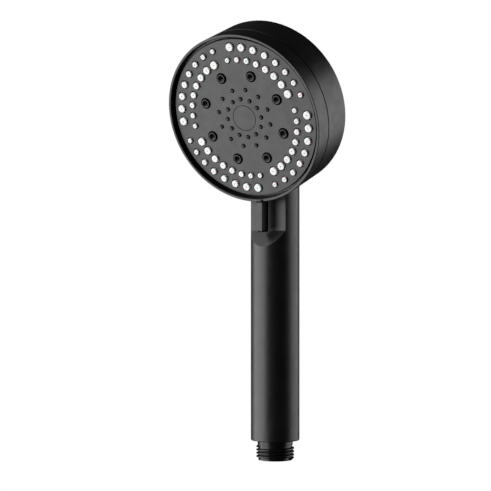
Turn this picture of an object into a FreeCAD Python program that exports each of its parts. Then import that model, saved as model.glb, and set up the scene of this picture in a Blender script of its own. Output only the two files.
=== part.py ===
import FreeCAD, Part
import math
import os

from FreeCAD import Placement, Rotation, Vector

# Handheld shower head. Millimetres, +Z up along the handle's axis, front towards -Y.
# The origin is on the handle's axis, at the lower end of the threaded inlet.
#
# Every piece of the round head is drawn in the head's own frame and then placed: x to the
# right and y up as seen from the front, z out of the face, with z = 0 on the face plate.
# "Depth" is measured into the head from the face plate, so it is -z in that frame.
# "Clock" angles turn clockwise from the top as seen from the front.

# How far joined solids run into each other. Cutting tools run 1 mm past the faces they cut.
BODY_OVERLAP = 0.5

# ---------------------------------------------------------------- driving sizes: handle
HANDLE_RADIUS = 13.5
HANDLE_WALL = 2.5
HANDLE_BOTTOM_Z = 10.9
HANDLE_EDGE_RADIUS = 0.6
HANDLE_BORE_TOP_Z = 112.0
HANDLE_FLOOR = 6.0
RECESS_FLAT_DISTANCE = 7.4
RECESS_TOP_LEDGE_Z = 126.9
RECESS_FRONT_LEDGE_Z = 118.1
NECK_CLEARANCE = 0.5
NECK_BORE_GAP = 0.25

# ---------------------------------------------------------------- driving sizes: head
HEAD_TILT = 21.0
HEAD_FOOT_Z = 143.422
HEAD_RADIUS = 47.0
RIM_PROUD = 2.4
SEAM_DEPTH = 8.8
SEAM_GAP = 0.3
HEAD_DEPTH = 28.7
SHELL_WALL = 2.5
BACK_WALL = 2.5
BACK_EDGE_RADIUS = 1.6
RIM_EDGE_RADIUS = 0.3

# ---------------------------------------------------------------- driving sizes: bezel
RIM_WIDTH = 1.5
BEZEL_SEAT = 2.5
SPIGOT_WALL = 1.2
SPIGOT_CLEARANCE = 0.3
SPIGOT_OVERLAP = 0.3
LEVER_WIDTH = 3.8
LEVER_THICKNESS = 6.5
LEVER_GAP = 2.3
LEVER_BOTTOM_Z = 126.1
LEVER_ROOT = 4.0
LEVER_EDGE_RADIUS = 1.2

# ---------------------------------------------------------------- driving sizes: face
RIM_GROOVE = 1.6
PLATE_THICKNESS = 2.0
MAT_THICKNESS = 1.4
MAT_EDGE_GAP = 1.3
TIP_PROUD = 1.0
TIP_GAP = 0.4
TIP_DRAFT = 0.15
TIP_OUTLET_RADIUS = 0.35
TIP_OUTLET_LENGTH = 1.0
TIP_BORE_SHARE = 0.5
OUTER_RING_RADIUS = 39.6
INNER_RING_RADIUS = 32.7
RING_GROUPS = 4
TIPS_PER_GROUP = 8
TIP_STEP = 10.5
TIP_LARGE_RADIUS = 2.2
TIP_SMALL_RADIUS = 1.35

JET_COUNT = 12
JET_OUTER_RADIUS = 16.1
JET_INNER_RADIUS = 10.7
JET_HOLE_RADIUS = 1.25
JET_NUB_RADIUS = 0.85
JET_PROUD = 0.7
JET_OUTLET_RADIUS = 0.3
JET_INSERT_INNER_RADIUS = 8.6

MIST_COUNT = 8
MIST_RADIUS = 24.6
MIST_HOLE_RADIUS = 3.05
MIST_NUB_RADIUS = 2.3
MIST_PROUD = 0.8
MIST_FUNNEL_RADIUS = 1.9
MIST_FUNNEL_DEPTH = 1.5
MIST_OUTLET_RADIUS = 0.4
MIST_FLANGE_RADIUS = 3.6
SWIRLER_THICKNESS = 1.2
SWIRLER_CHAMBER_RADIUS = 1.0
SWIRLER_SLOT_SHARE = 0.5
SWIRLER_SLOT_WIDTH = 0.6
SWIRLER_SLOT_OFFSET = 0.7
SWIRLER_NOTCH_RADIUS = 0.8
SWIRLER_NOTCH_INSET = 0.3
SWIRLER_SEAT_INSET = 0.8
SWIRLER_SEAT_WALL = 0.8

CAP_RADIUS = 6.9
CAP_GAP = 0.25
CAP_THICKNESS = 1.3
CAP_LEDGE = 0.8
CAP_SKIRT_FIT = 0.1
CAP_SKIRT_WALL = 1.0
CAP_SCREW_GAP = 0.2

# ---------------------------------------------------------------- driving sizes: water stack
CHAMBER_SPACE = 3.2
CHAMBER_BASE = 1.4
CHAMBER_WALL = 1.3
CHAMBER_FLANGE = 2.2
CHAMBER_SKIRT_GAP = 0.4
CENTRE_WALL_RADIUS = 19.0
MIST_WALL_RADIUS = 28.6
HUB_WALL = 4.05
HUB_SHOULDER = 1.5
HUB_RECESS = 1.8
HUB_END_PLAY = 0.2
GASKET_THICKNESS = 0.5
DISC_THICKNESS = 3.0
DISC_RADIUS = 38.0
DISC_RIM_GAP = 0.3
DISC_RIM_THICKNESS = 1.8
CHANNEL_DEPTH = 1.6
PORT_RADIUS = 26.0
MODE_COUNT = 5
MODE_STEP = 20.0
CHAMBER_PORT_RADIUS = 1.6
STACK_SCREW_RADIUS = 32.7
STACK_SCREW_CLOCK = 76.5
STACK_SCREW_COUNT = 4
STACK_BOSS_RADIUS = 2.5

# ---------------------------------------------------------------- driving sizes: turbine
TURBINE_TIP_GAP = 0.7
TURBINE_HUB_GAP = 0.5
TURBINE_END_GAP = 0.3
TURBINE_DISC = 0.8
TURBINE_BLADES = 12
TURBINE_BLADE_THICKNESS = 0.8
TURBINE_COLLAR = 1.0
TURBINE_RIM = 0.8
TURBINE_WINDOW_START = 20.0
TURBINE_WINDOW_END = 160.0

# ---------------------------------------------------------------- driving sizes: valve body
VALVE_GAP = 0.5
VALVE_RADIUS = 30.5
VALVE_THICKNESS = 3.0
POST_RADIUS = 5.0
POST_CLEARANCE = 0.05
PORT_BOSS_WALL = 2.6
PORT_BOSS_GAP = 1.0
PORT_BOSS_FLOOR = 1.2
POCKET_LEDGE = 0.4
ELBOW_RADIUS = 3.2
ELBOW_DEPTH = 20.6
ELBOW_FOOT = 11.5
ELBOW_WALL = 0.8
SOCKET_WALL = 0.8
SOCKET_BOTTOM_Z = 156.5
SOCKET_STOP_Z = 162.5
SOCKET_TOP_Z = 168.0
SOCKET_BACK_GAP = 0.3
HUB_TAIL_LENGTH = 5.0
PASSAGE_TOP_Z = 165.0
VALVE_SCREW_RADIUS = 25.0
VALVE_SCREW_CLOCKS = (45.0, 135.0, 225.0, 315.0)
VALVE_BOSS_WALL = 2.1
STOP_RADIUS = 16.0
STOP_LUG_RADIUS = 1.4
STOP_LUG_HEIGHT = 1.5
STOP_CLEARANCE = 0.3
THRUST_WASHER_WIDTH = 5.45

# ---------------------------------------------------------------- driving sizes: seal, detent
SEAL_RADIUS = 3.9
SEAL_BORE_RADIUS = 2.1
SEAL_LENGTH = 3.6
SEAL_SEAT_DEPTH = 1.0
SEAL_SEAT_WALL = 0.45
SEAL_FACE_GAP = 0.05
SEAL_SIDE_CLEARANCE = 0.1
SEAL_WIRE_RADIUS = 0.3
SPRING_SIDE_GAP = 0.1
SEAL_COILS = 3
DETENT_RADIUS = 24.0
DETENT_PIN_RADIUS = 1.4
DETENT_NOSE_RADIUS = 1.0
DETENT_PIN_LENGTH = 5.0
DETENT_COLLAR_LENGTH = 1.5
DETENT_NECK_LENGTH = 1.8
DETENT_COLLAR_RADIUS = 1.9
DETENT_CLEARANCE = 0.06
DETENT_GROOVE_WIDTH = 3.0
DETENT_GROOVE_DEPTH = 1.0
DETENT_NOSE_GAP = 0.1
DETENT_BUMP_HEIGHT = 0.5
DETENT_BUMP_WIDTH = 0.8
DETENT_BUMP_ROOT = 0.3
DETENT_SLEEVE_WALL = 1.44
DETENT_SLEEVE_LENGTH = 9.0
DETENT_SLEEVE_FLOOR = 1.0
DETENT_COIL_RADIUS = 1.35
DETENT_WIRE_RADIUS = 0.22
DETENT_COILS = 5

# ---------------------------------------------------------------- driving sizes: inlet, tube
THREAD_RADIUS = 10.4775
THREAD_PITCH = 1.814
THREAD_DEPTH = 1.162
THREAD_CREST = 0.55
THREAD_START_Z = 0.9
THREAD_TURNS = 3.6
THREAD_LEAD_IN = 1.3
THREAD_LEAD_SLOPE = 0.94
COLLAR_RADIUS = 9.75
COLLAR_BOTTOM_Z = 8.2
INLET_SPIGOT_TOP_Z = 26.0
THREAD_SINK = 0.2
THREAD_ROOT_SHARE = 0.46
INLET_MOUTH_RADIUS = 7.6
INLET_MOUTH_DEPTH = 5.0
INLET_CHANNEL_RADIUS = 6.2
INLET_CHANNEL_TOP_Z = 15.0
INLET_FIT = 0.05
ORING_WIRE_RADIUS = 0.9
ORING_SQUEEZE = 0.03
TUBE_RADIUS = 5.0
TUBE_WALL = 1.1
TUBE_FIT = 0.05
TUBE_BOTTOM_Z = 18.0
TUBE_SEAL_OFFSET = 3.0
TUBE_FRONT_GAP = 0.6643
SEAL_ROOM_GAP = 0.2
SCREEN_THICKNESS = 0.8
SCREEN_RIM = 1.1
SCREEN_BAR = 0.5
SCREEN_PITCH = 1.7
REGULATOR_THICKNESS = 3.2
REGULATOR_HOLE_RADIUS = 0.8
REGULATOR_HOLE_CIRCLE = 3.4
REGULATOR_HOLES = 6

# ---------------------------------------------------------------- driving sizes: screws
SMALL_SCREW_RADIUS = 1.1
SMALL_HEAD_RADIUS = 2.1
SMALL_HEAD_HEIGHT = 1.3
SCREW_RADIUS = 1.5
HEAD_CAP_RADIUS = 2.8
HEAD_CAP_HEIGHT = 1.6
SCREW_BITE = 7.0
PIVOT_SCREW_RADIUS = 2.0
PIVOT_HEAD_RADIUS = 3.8
PIVOT_HEAD_HEIGHT = 1.4
PIVOT_SCREW_BITE = 12.0
PIVOT_WASHER_GAP = 0.35
PIVOT_WASHER_THICKNESS = 0.6
HEX_SHARE = 0.45
HEX_DEPTH_SHARE = 0.6
SCREW_HOLE_CLEARANCE = 0.15
SCREW_END_GAP = 0.5

# ---------------------------------------------------------------- sizes that follow
# depths, from the face inwards
MAT_BACK = PLATE_THICKNESS + MAT_THICKNESS
BEZEL_FLANGE_FRONT = MAT_BACK + CHAMBER_FLANGE
HUB_SHOULDER_DEPTH = MAT_BACK + HUB_RECESS
POST_TIP_DEPTH = HUB_SHOULDER_DEPTH - HUB_END_PLAY
PIVOT_HEAD_DEPTH = POST_TIP_DEPTH - PIVOT_WASHER_THICKNESS - PIVOT_HEAD_HEIGHT
CHAMBER_DEPTH = MAT_BACK + CHAMBER_SPACE
CHAMBER_BACK = CHAMBER_DEPTH + CHAMBER_BASE
GASKET_BACK = CHAMBER_BACK + GASKET_THICKNESS
DISC_BACK = GASKET_BACK + DISC_THICKNESS
BEZEL_SPIGOT_DEPTH = GASKET_BACK + DISC_RIM_THICKNESS + SPIGOT_OVERLAP
VALVE_FRONT = DISC_BACK + VALVE_GAP
VALVE_BACK = VALVE_FRONT + VALVE_THICKNESS
CUP_FLOOR_DEPTH = HEAD_DEPTH - BACK_WALL
PORT_BOSS_DEPTH = CUP_FLOOR_DEPTH - PORT_BOSS_GAP
POCKET_DEPTH = ELBOW_DEPTH - ELBOW_RADIUS - POCKET_LEDGE
DETENT_SLEEVE_DEPTH = VALVE_BACK + DETENT_SLEEVE_LENGTH
TURBINE_FRONT = MAT_BACK + TURBINE_END_GAP
TURBINE_BACK = CHAMBER_DEPTH - TURBINE_END_GAP

# radii of the head, from its edge inwards
RIM_INNER_RADIUS = HEAD_RADIUS - RIM_WIDTH
PLATE_RADIUS = RIM_INNER_RADIUS - RIM_GROOVE
CHAMBER_RADIUS = PLATE_RADIUS
MAT_OUTER_RADIUS = PLATE_RADIUS - MAT_EDGE_GAP
CUP_RADIUS = HEAD_RADIUS - SHELL_WALL
SPIGOT_RADIUS = CUP_RADIUS - SPIGOT_CLEARANCE
SPIGOT_INNER_RADIUS = SPIGOT_RADIUS - SPIGOT_WALL
DISC_RIM_RADIUS = SPIGOT_INNER_RADIUS - DISC_RIM_GAP
BEZEL_FLANGE_INNER_RADIUS = PLATE_RADIUS - BEZEL_SEAT
CHAMBER_SKIRT_RADIUS = BEZEL_FLANGE_INNER_RADIUS - CHAMBER_SKIRT_GAP
MIST_WALL_OUTER_RADIUS = MIST_WALL_RADIUS + CHAMBER_WALL
CENTRE_WALL_OUTER_RADIUS = CENTRE_WALL_RADIUS + CHAMBER_WALL

# the head's place: its foot stays at one height, and it stands clear in front of the water tube
TILT_SINE = math.sin(math.radians(HEAD_TILT))
TILT_COSINE = math.cos(math.radians(HEAD_TILT))
SPIGOT_REACH = SPIGOT_RADIUS * TILT_SINE + BEZEL_SPIGOT_DEPTH * TILT_COSINE
HEAD_CENTRE_Y = -(TUBE_RADIUS + TUBE_FRONT_GAP + SPIGOT_REACH)
HEAD_CENTRE_Z = HEAD_FOOT_Z + HEAD_RADIUS * TILT_COSINE
ELBOW_END = CUP_RADIUS - ELBOW_FOOT

# radii about the pivot, from its post outwards
HUB_BORE_RADIUS = POST_RADIUS + POST_CLEARANCE
HUB_RECESS_RADIUS = HUB_BORE_RADIUS + HUB_SHOULDER
HUB_OUTER_RADIUS = HUB_BORE_RADIUS + HUB_WALL
THRUST_WASHER_RADIUS = HUB_BORE_RADIUS + THRUST_WASHER_WIDTH
PIVOT_WASHER_RADIUS = HUB_RECESS_RADIUS - PIVOT_WASHER_GAP
TURBINE_INNER_RADIUS = HUB_OUTER_RADIUS + TURBINE_HUB_GAP
TURBINE_OUTER_RADIUS = CENTRE_WALL_RADIUS - TURBINE_TIP_GAP
CAP_LEDGE_RADIUS = CAP_RADIUS - CAP_LEDGE
CAP_SKIRT_RADIUS = CAP_LEDGE_RADIUS - CAP_SKIRT_FIT

# radii of the handle, and of what plugs into it
HANDLE_BORE_RADIUS = HANDLE_RADIUS - HANDLE_WALL
TUBE_BORE_RADIUS = TUBE_RADIUS - TUBE_WALL
SOCKET_OUTER_RADIUS = TUBE_RADIUS + 2 * ORING_WIRE_RADIUS + SOCKET_WALL
THREAD_ROOT_RADIUS = THREAD_RADIUS - THREAD_DEPTH

# the lever and the range of the spray modes
LEVER_BACK_Y = -(RECESS_FLAT_DISTANCE + LEVER_GAP)
LEVER_FRONT_Y = LEVER_BACK_Y - LEVER_THICKNESS
MODE_RANGE = MODE_STEP * (MODE_COUNT - 1) / 2
HEAD_AXIS = Vector(0, 0, 1)


# ---------------------------------------------------------------- drawing helpers
def clock(radius, degrees):
    """The x and y of a point on a circle of the head, at a clock angle."""
    turn = math.radians(degrees)
    return radius * math.sin(turn), radius * math.cos(turn)


def post(radius, front, back, at=(0.0, 0.0)):
    """A cylinder along the head's axis between two depths."""
    return Part.makeCylinder(radius, back - front, Vector(at[0], at[1], -back), HEAD_AXIS)


def ring(outer, inner, front, back, at=(0.0, 0.0)):
    """A tube along the head's axis between two depths."""
    return post(outer, front, back, at).cut(post(inner, front - 1, back + 1, at))


def taper(front_radius, back_radius, front, back, at=(0.0, 0.0)):
    """A cone frustum along the head's axis between two depths."""
    base = Vector(at[0], at[1], -back)
    return Part.makeCone(back_radius, front_radius, back - front, base, HEAD_AXIS)


def block(x_size, y_low, y_high, front, back):
    """A box centred on x = 0 in the head's frame."""
    size = Vector(x_size, y_high - y_low, back - front)
    return Part.makeBox(size.x, size.y, size.z, Vector(-x_size / 2, y_low, -back))


def upright(radius, low, high):
    """A cylinder on the handle's axis between two heights."""
    return Part.makeCylinder(radius, high - low, Vector(0, 0, low), Vector(0, 0, 1))


def upright_ring(outer, inner, low, high):
    """A tube on the handle's axis between two heights."""
    return upright(outer, low, high).cut(upright(inner, low - 1, high + 1))


def arc_band(outer, inner, front, back, start, end):
    """Part of a ring between two clock angles, cut by flat radial sides."""
    sweep = Part.makeCylinder(outer, back - front, Vector(0, 0, -back), HEAD_AXIS, end - start)
    sweep.rotate(Vector(0, 0, 0), HEAD_AXIS, 90 - end)
    return sweep.cut(post(inner, front - 1, back + 1))


def torus(ring_radius, wire_radius, height):
    """An O-ring on the handle's axis."""
    return Part.makeTorus(ring_radius, wire_radius, Vector(0, 0, height), Vector(0, 0, 1))


def coil(radius, wire_radius, front, back, turns, at=(0.0, 0.0)):
    """A compression spring along the head's axis that lies just inside two depths."""
    rise = back - front - 2 * wire_radius
    line = Part.makeHelix(rise / turns, rise, radius)
    section = Part.Wire(Part.makeCircle(wire_radius, Vector(radius, 0, 0), Vector(0, 1, 0)))
    spring = Part.Wire(line).makePipeShell([section], True, True)
    spring.translate(Vector(at[0], at[1], -back + wire_radius))
    return spring


def screw(radius, head_radius, head_height, length, at, front):
    """A pan-head screw that points into the head, with a hexagonal socket in its front."""
    body = post(head_radius, front, front + head_height, at)
    body = body.fuse(post(radius, front + head_height, front + head_height + length, at))
    return body.cut(hexagon(head_radius * HEX_SHARE, front - 1, front + head_height * HEX_DEPTH_SHARE, at))


def screw_from_back(radius, head_radius, head_height, length, at, back):
    """The same screw pointing out of the head, with its head's flat side at depth back."""
    body = post(head_radius, back - head_height, back, at)
    body = body.fuse(post(radius, back - head_height - length, back - head_height, at))
    return body.cut(hexagon(head_radius * HEX_SHARE, back - head_height * HEX_DEPTH_SHARE, back + 1, at))


def hexagon(radius, front, back, at=(0.0, 0.0)):
    """A six-sided prism along the head's axis."""
    corners = []
    for k in range(7):
        x, y = clock(radius, 60 * k)
        corners.append(Vector(at[0] + x, at[1] + y, -back))
    return Part.Face(Part.makePolygon(corners)).extrude(HEAD_AXIS * (back - front))


def join(shapes):
    """One solid out of many that overlap or touch."""
    return shapes[0].multiFuse(shapes[1:]).removeSplitter()


def drill(shape, tools):
    """A solid less many others."""
    return shape.cut(Part.makeCompound(tools))


def in_head_frame():
    """The placement that carries the head's frame to the part's frame."""
    turn = Rotation(Vector(1, 0, 0), 90 + HEAD_TILT)
    return Placement(Vector(0, HEAD_CENTRE_Y, HEAD_CENTRE_Z), turn)


def moved(shape):
    """A shape drawn in the head's frame, carried to the part's frame."""
    out = shape.copy()
    out.Placement = in_head_frame().multiply(out.Placement)
    return out


def to_head_frame(shape):
    """A shape drawn in the part's frame, carried into the head's frame."""
    out = shape.copy()
    out.Placement = in_head_frame().inverse().multiply(out.Placement)
    return out


# ---------------------------------------------------------------- patterns of the face
def rain_tips():
    """Each rain nozzle as (place, tip radius), outer ring first."""
    tips = []
    spread = TIP_LARGE_RADIUS - TIP_SMALL_RADIUS
    for group in range(RING_GROUPS):
        for k in range(TIPS_PER_GROUP):
            share = k / (TIPS_PER_GROUP - 1)
            angle = 360 / RING_GROUPS * group + TIP_STEP * k
            tips.append((clock(OUTER_RING_RADIUS, angle), TIP_LARGE_RADIUS - spread * share))
            inner = clock(INNER_RING_RADIUS, angle - TIP_STEP / 2)
            tips.append((inner, TIP_SMALL_RADIUS + spread * share))
    return tips


def jet_places():
    """Places of the small jets in their two circles."""
    step = 360 / JET_COUNT
    outer = [clock(JET_OUTER_RADIUS, step * (k + 0.5)) for k in range(JET_COUNT)]
    inner = [clock(JET_INNER_RADIUS, step * k) for k in range(JET_COUNT)]
    return outer + inner


def mist_places():
    """Places of the mist nozzles."""
    step = 360 / MIST_COUNT
    return [clock(MIST_RADIUS, step * (k + 0.5)) for k in range(MIST_COUNT)]


def stack_screw_places():
    """Places of the screws that clamp the turning stack."""
    step = 360 / STACK_SCREW_COUNT
    return [clock(STACK_SCREW_RADIUS, STACK_SCREW_CLOCK + step * k) for k in range(STACK_SCREW_COUNT)]


def mode_clocks():
    """Clock angles of the ports, one for each spray mode, about the bottom."""
    return [180 + MODE_STEP * k - MODE_RANGE for k in range(MODE_COUNT)]


# ---------------------------------------------------------------- handle and rear shell
def lower_recess():
    """The material that the finger recess takes off the handle's front."""
    side = 2 * HANDLE_RADIUS
    profile = [
        Vector(-side, -side, RECESS_FRONT_LEDGE_Z - ledge_slope() * (side - HANDLE_RADIUS)),
        Vector(-side, -RECESS_FLAT_DISTANCE, RECESS_TOP_LEDGE_Z),
        Vector(-side, -RECESS_FLAT_DISTANCE, HEAD_CENTRE_Z),
        Vector(-side, -side, HEAD_CENTRE_Z),
    ]
    face = Part.Face(Part.makePolygon(profile + [profile[0]]))
    return face.extrude(Vector(2 * side, 0, 0))


def ledge_slope():
    """Rise of the recess's ledge for each millimetre towards the handle's axis."""
    rise = RECESS_TOP_LEDGE_Z - RECESS_FRONT_LEDGE_Z
    return rise / (HANDLE_RADIUS - RECESS_FLAT_DISTANCE)


def handle_core():
    """The handle as a solid bar, cut off by the plane of the head's back."""
    bar = upright(HANDLE_RADIUS, HANDLE_BOTTOM_Z, HEAD_CENTRE_Z)
    bottom = [e for e in bar.Edges if e.BoundBox.ZMax < HANDLE_BOTTOM_Z + 0.01]
    bar = to_head_frame(bar.makeFillet(HANDLE_EDGE_RADIUS, bottom))
    reach = 4 * HEAD_RADIUS
    behind = Part.makeBox(reach, reach, reach, Vector(-reach / 2, -reach / 2, -HEAD_DEPTH - reach))
    bar = bar.cut(behind)
    bar = bar.makeFillet(BACK_EDGE_RADIUS, back_edges(bar))
    bar = bar.cut(to_head_frame(lower_recess()))
    return bar.cut(post(HEAD_RADIUS + NECK_CLEARANCE, -reach, SEAM_DEPTH))


def back_edges(shape):
    """Edges that lie in the plane of the head's back."""
    level = -HEAD_DEPTH
    return [e for e in shape.Edges if abs(e.BoundBox.ZMax - level) + abs(e.BoundBox.ZMin - level) < 0.01]


def handle_hollow():
    """The space inside the handle: a wide bore, then a narrow one up into the head."""
    wide = upright(HANDLE_BORE_RADIUS, HANDLE_BOTTOM_Z + HANDLE_FLOOR, HANDLE_BORE_TOP_Z)
    mouth = upright(COLLAR_RADIUS + INLET_FIT, HANDLE_BOTTOM_Z - 1, HANDLE_BOTTOM_Z + HANDLE_FLOOR)
    neck = upright(TUBE_RADIUS + NECK_BORE_GAP, HANDLE_BORE_TOP_Z - 1, SOCKET_BOTTOM_Z)
    seal_z = SOCKET_STOP_Z - TUBE_SEAL_OFFSET
    seal_radius = TUBE_RADIUS + 2 * ORING_WIRE_RADIUS + SEAL_ROOM_GAP
    half = ORING_WIRE_RADIUS + SEAL_ROOM_GAP
    seal_room = upright(seal_radius, seal_z - half, seal_z + half)
    return to_head_frame(join([wide, mouth, neck, seal_room]))


def body_shell():
    """Handle and rear half of the head, one hollow moulding."""
    cup = post(HEAD_RADIUS, SEAM_DEPTH, HEAD_DEPTH)
    cup = cup.makeFillet(BACK_EDGE_RADIUS, back_edges(cup))
    shell = join([cup, handle_core()])
    shell = shell.cut(post(CUP_RADIUS, SEAM_DEPTH - 1, CUP_FLOOR_DEPTH))
    shell = shell.cut(handle_hollow())
    bosses = []
    for angle in VALVE_SCREW_CLOCKS:
        at = clock(VALVE_SCREW_RADIUS, angle)
        boss = post(SCREW_RADIUS + VALVE_BOSS_WALL, VALVE_BACK, CUP_FLOOR_DEPTH + 1, at)
        hole = post(SCREW_RADIUS, VALVE_BACK - 1, VALVE_BACK + SCREW_BITE, at)
        bosses.append(boss.cut(hole))
    return join([shell] + bosses)


# ---------------------------------------------------------------- inlet and water tube
def thread_ridge():
    """The helical ridge of the inlet's thread, faded out by a cone at its lower end."""
    flank = (THREAD_ROOT_SHARE * THREAD_PITCH - THREAD_CREST / 2) / THREAD_DEPTH
    sunk_radius = THREAD_ROOT_RADIUS - THREAD_SINK
    sunk_half = THREAD_ROOT_SHARE * THREAD_PITCH + flank * THREAD_SINK
    line = Part.makeHelix(THREAD_PITCH, THREAD_TURNS * THREAD_PITCH, THREAD_ROOT_RADIUS)
    corners = [
        Vector(sunk_radius, 0, -sunk_half),
        Vector(THREAD_RADIUS, 0, -THREAD_CREST / 2),
        Vector(THREAD_RADIUS, 0, THREAD_CREST / 2),
        Vector(sunk_radius, 0, sunk_half),
    ]
    section = Part.Wire(Part.makePolygon(corners + [corners[0]]))
    ridge = Part.Wire(line).makePipeShell([section], True, True)
    ridge.translate(Vector(0, 0, THREAD_START_Z))
    rise = THREAD_LEAD_IN + THREAD_DEPTH
    lead = Part.makeCone(THREAD_ROOT_RADIUS, THREAD_ROOT_RADIUS + THREAD_LEAD_SLOPE * rise, rise)
    limit = lead.fuse(upright(THREAD_RADIUS + THREAD_DEPTH, rise, COLLAR_BOTTOM_Z))
    return ridge.common(limit)


def inlet_connector():
    """Threaded nipple with a smooth collar and a spigot that sits in the handle."""
    stem = upright(THREAD_ROOT_RADIUS, 0, COLLAR_BOTTOM_Z)
    stem = stem.fuse(thread_ridge())
    collar = upright(COLLAR_RADIUS, COLLAR_BOTTOM_Z, HANDLE_BOTTOM_Z + HANDLE_FLOOR)
    spigot = upright(COLLAR_RADIUS - INLET_FIT, HANDLE_BOTTOM_Z + HANDLE_FLOOR, INLET_SPIGOT_TOP_Z)
    body = stem.fuse(collar).fuse(spigot)
    body = body.cut(upright(INLET_MOUTH_RADIUS, -1, INLET_MOUTH_DEPTH))
    body = body.cut(upright(INLET_CHANNEL_RADIUS, INLET_MOUTH_DEPTH - 1, INLET_CHANNEL_TOP_Z))
    body = body.cut(upright(TUBE_BORE_RADIUS, INLET_CHANNEL_TOP_Z - 1, TUBE_BOTTOM_Z + 1))
    body = body.cut(upright(TUBE_RADIUS + TUBE_FIT, TUBE_BOTTOM_Z, INLET_SPIGOT_TOP_Z + 1))
    groove_z = TUBE_BOTTOM_Z + TUBE_SEAL_OFFSET
    body = body.cut(seal_groove(groove_z))
    return body.cut(inlet_seal_groove())


def seal_groove(height):
    """Groove for a tube's O-ring, in the bore around the tube."""
    outer = TUBE_RADIUS + 2 * ORING_WIRE_RADIUS
    return upright_ring(outer, TUBE_RADIUS - 1, height - ORING_WIRE_RADIUS, height + ORING_WIRE_RADIUS)


def inlet_seal_height():
    """Height of the O-ring between the nipple and the handle."""
    return HANDLE_BOTTOM_Z + HANDLE_FLOOR / 2


def inlet_seal_groove():
    """Groove for the nipple's O-ring, in its collar."""
    z = inlet_seal_height()
    inner = COLLAR_RADIUS - 2 * ORING_WIRE_RADIUS
    return upright_ring(COLLAR_RADIUS + 1, inner, z - ORING_WIRE_RADIUS, z + ORING_WIRE_RADIUS)


def inlet_seal():
    """O-ring between the nipple and the handle's bore."""
    wire = ORING_WIRE_RADIUS - ORING_SQUEEZE
    return torus(COLLAR_RADIUS - ORING_WIRE_RADIUS, wire, inlet_seal_height())


def tube_seals():
    """O-rings around both ends of the water tube."""
    wire = ORING_WIRE_RADIUS - ORING_SQUEEZE
    centre = TUBE_RADIUS + ORING_WIRE_RADIUS
    heights = (TUBE_BOTTOM_Z + TUBE_SEAL_OFFSET, SOCKET_STOP_Z - TUBE_SEAL_OFFSET)
    return Part.makeCompound([torus(centre, wire, z) for z in heights])


def water_tube():
    """Inner tube that carries the water from the inlet to the head."""
    return upright_ring(TUBE_RADIUS, TUBE_BORE_RADIUS, TUBE_BOTTOM_Z, SOCKET_STOP_Z)


def filter_screen():
    """Mesh disc with a solid rim, in the inlet's channel."""
    low = INLET_MOUTH_DEPTH
    radius = INLET_CHANNEL_RADIUS - INLET_FIT
    top = low + SCREEN_THICKNESS
    rim = upright_ring(radius, radius - SCREEN_RIM, low, top)
    bars = []
    count = int(radius / SCREEN_PITCH)
    for k in range(-count, count + 1):
        corner = Vector(k * SCREEN_PITCH - SCREEN_BAR / 2, -radius, low)
        bars.append(Part.makeBox(SCREEN_BAR, 2 * radius, SCREEN_THICKNESS, corner))
        corner = Vector(-radius, k * SCREEN_PITCH - SCREEN_BAR / 2, low)
        bars.append(Part.makeBox(2 * radius, SCREEN_BAR, SCREEN_THICKNESS, corner))
    mesh = join(bars).common(upright(radius - SCREEN_RIM / 2, low, top))
    return join([rim, mesh])


def flow_regulator():
    """Flow limiting disc with a circle of small holes, behind the screen."""
    low = INLET_MOUTH_DEPTH + SCREEN_THICKNESS
    top = low + REGULATOR_THICKNESS
    disc = upright(INLET_CHANNEL_RADIUS - INLET_FIT, low, top)
    for k in range(REGULATOR_HOLES):
        x, y = clock(REGULATOR_HOLE_CIRCLE, 360 / REGULATOR_HOLES * k)
        hole = Part.makeCylinder(REGULATOR_HOLE_RADIUS, REGULATOR_THICKNESS + 2, Vector(x, y, low - 1))
        disc = disc.cut(hole)
    dish = Part.makeCone(INLET_CHANNEL_RADIUS / 3, INLET_CHANNEL_RADIUS / 6, REGULATOR_THICKNESS / 2)
    dish.translate(Vector(0, 0, low))
    return disc.cut(dish)


# ---------------------------------------------------------------- fixed valve body
def socket_solid(radius, low, high):
    """A cylinder about the handle's axis, in the head's frame, kept off the shell's back."""
    limit = post(CUP_RADIUS - SOCKET_BACK_GAP, VALVE_FRONT, CUP_FLOOR_DEPTH - SOCKET_BACK_GAP)
    return to_head_frame(upright(radius, low, high)).common(limit)


def elbow(radius, depth):
    """The cross passage from the tube's top to the port pocket."""
    return Part.makeCylinder(radius, ELBOW_END - PORT_RADIUS, Vector(0, -ELBOW_END, -depth), Vector(0, 1, 0))


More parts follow.
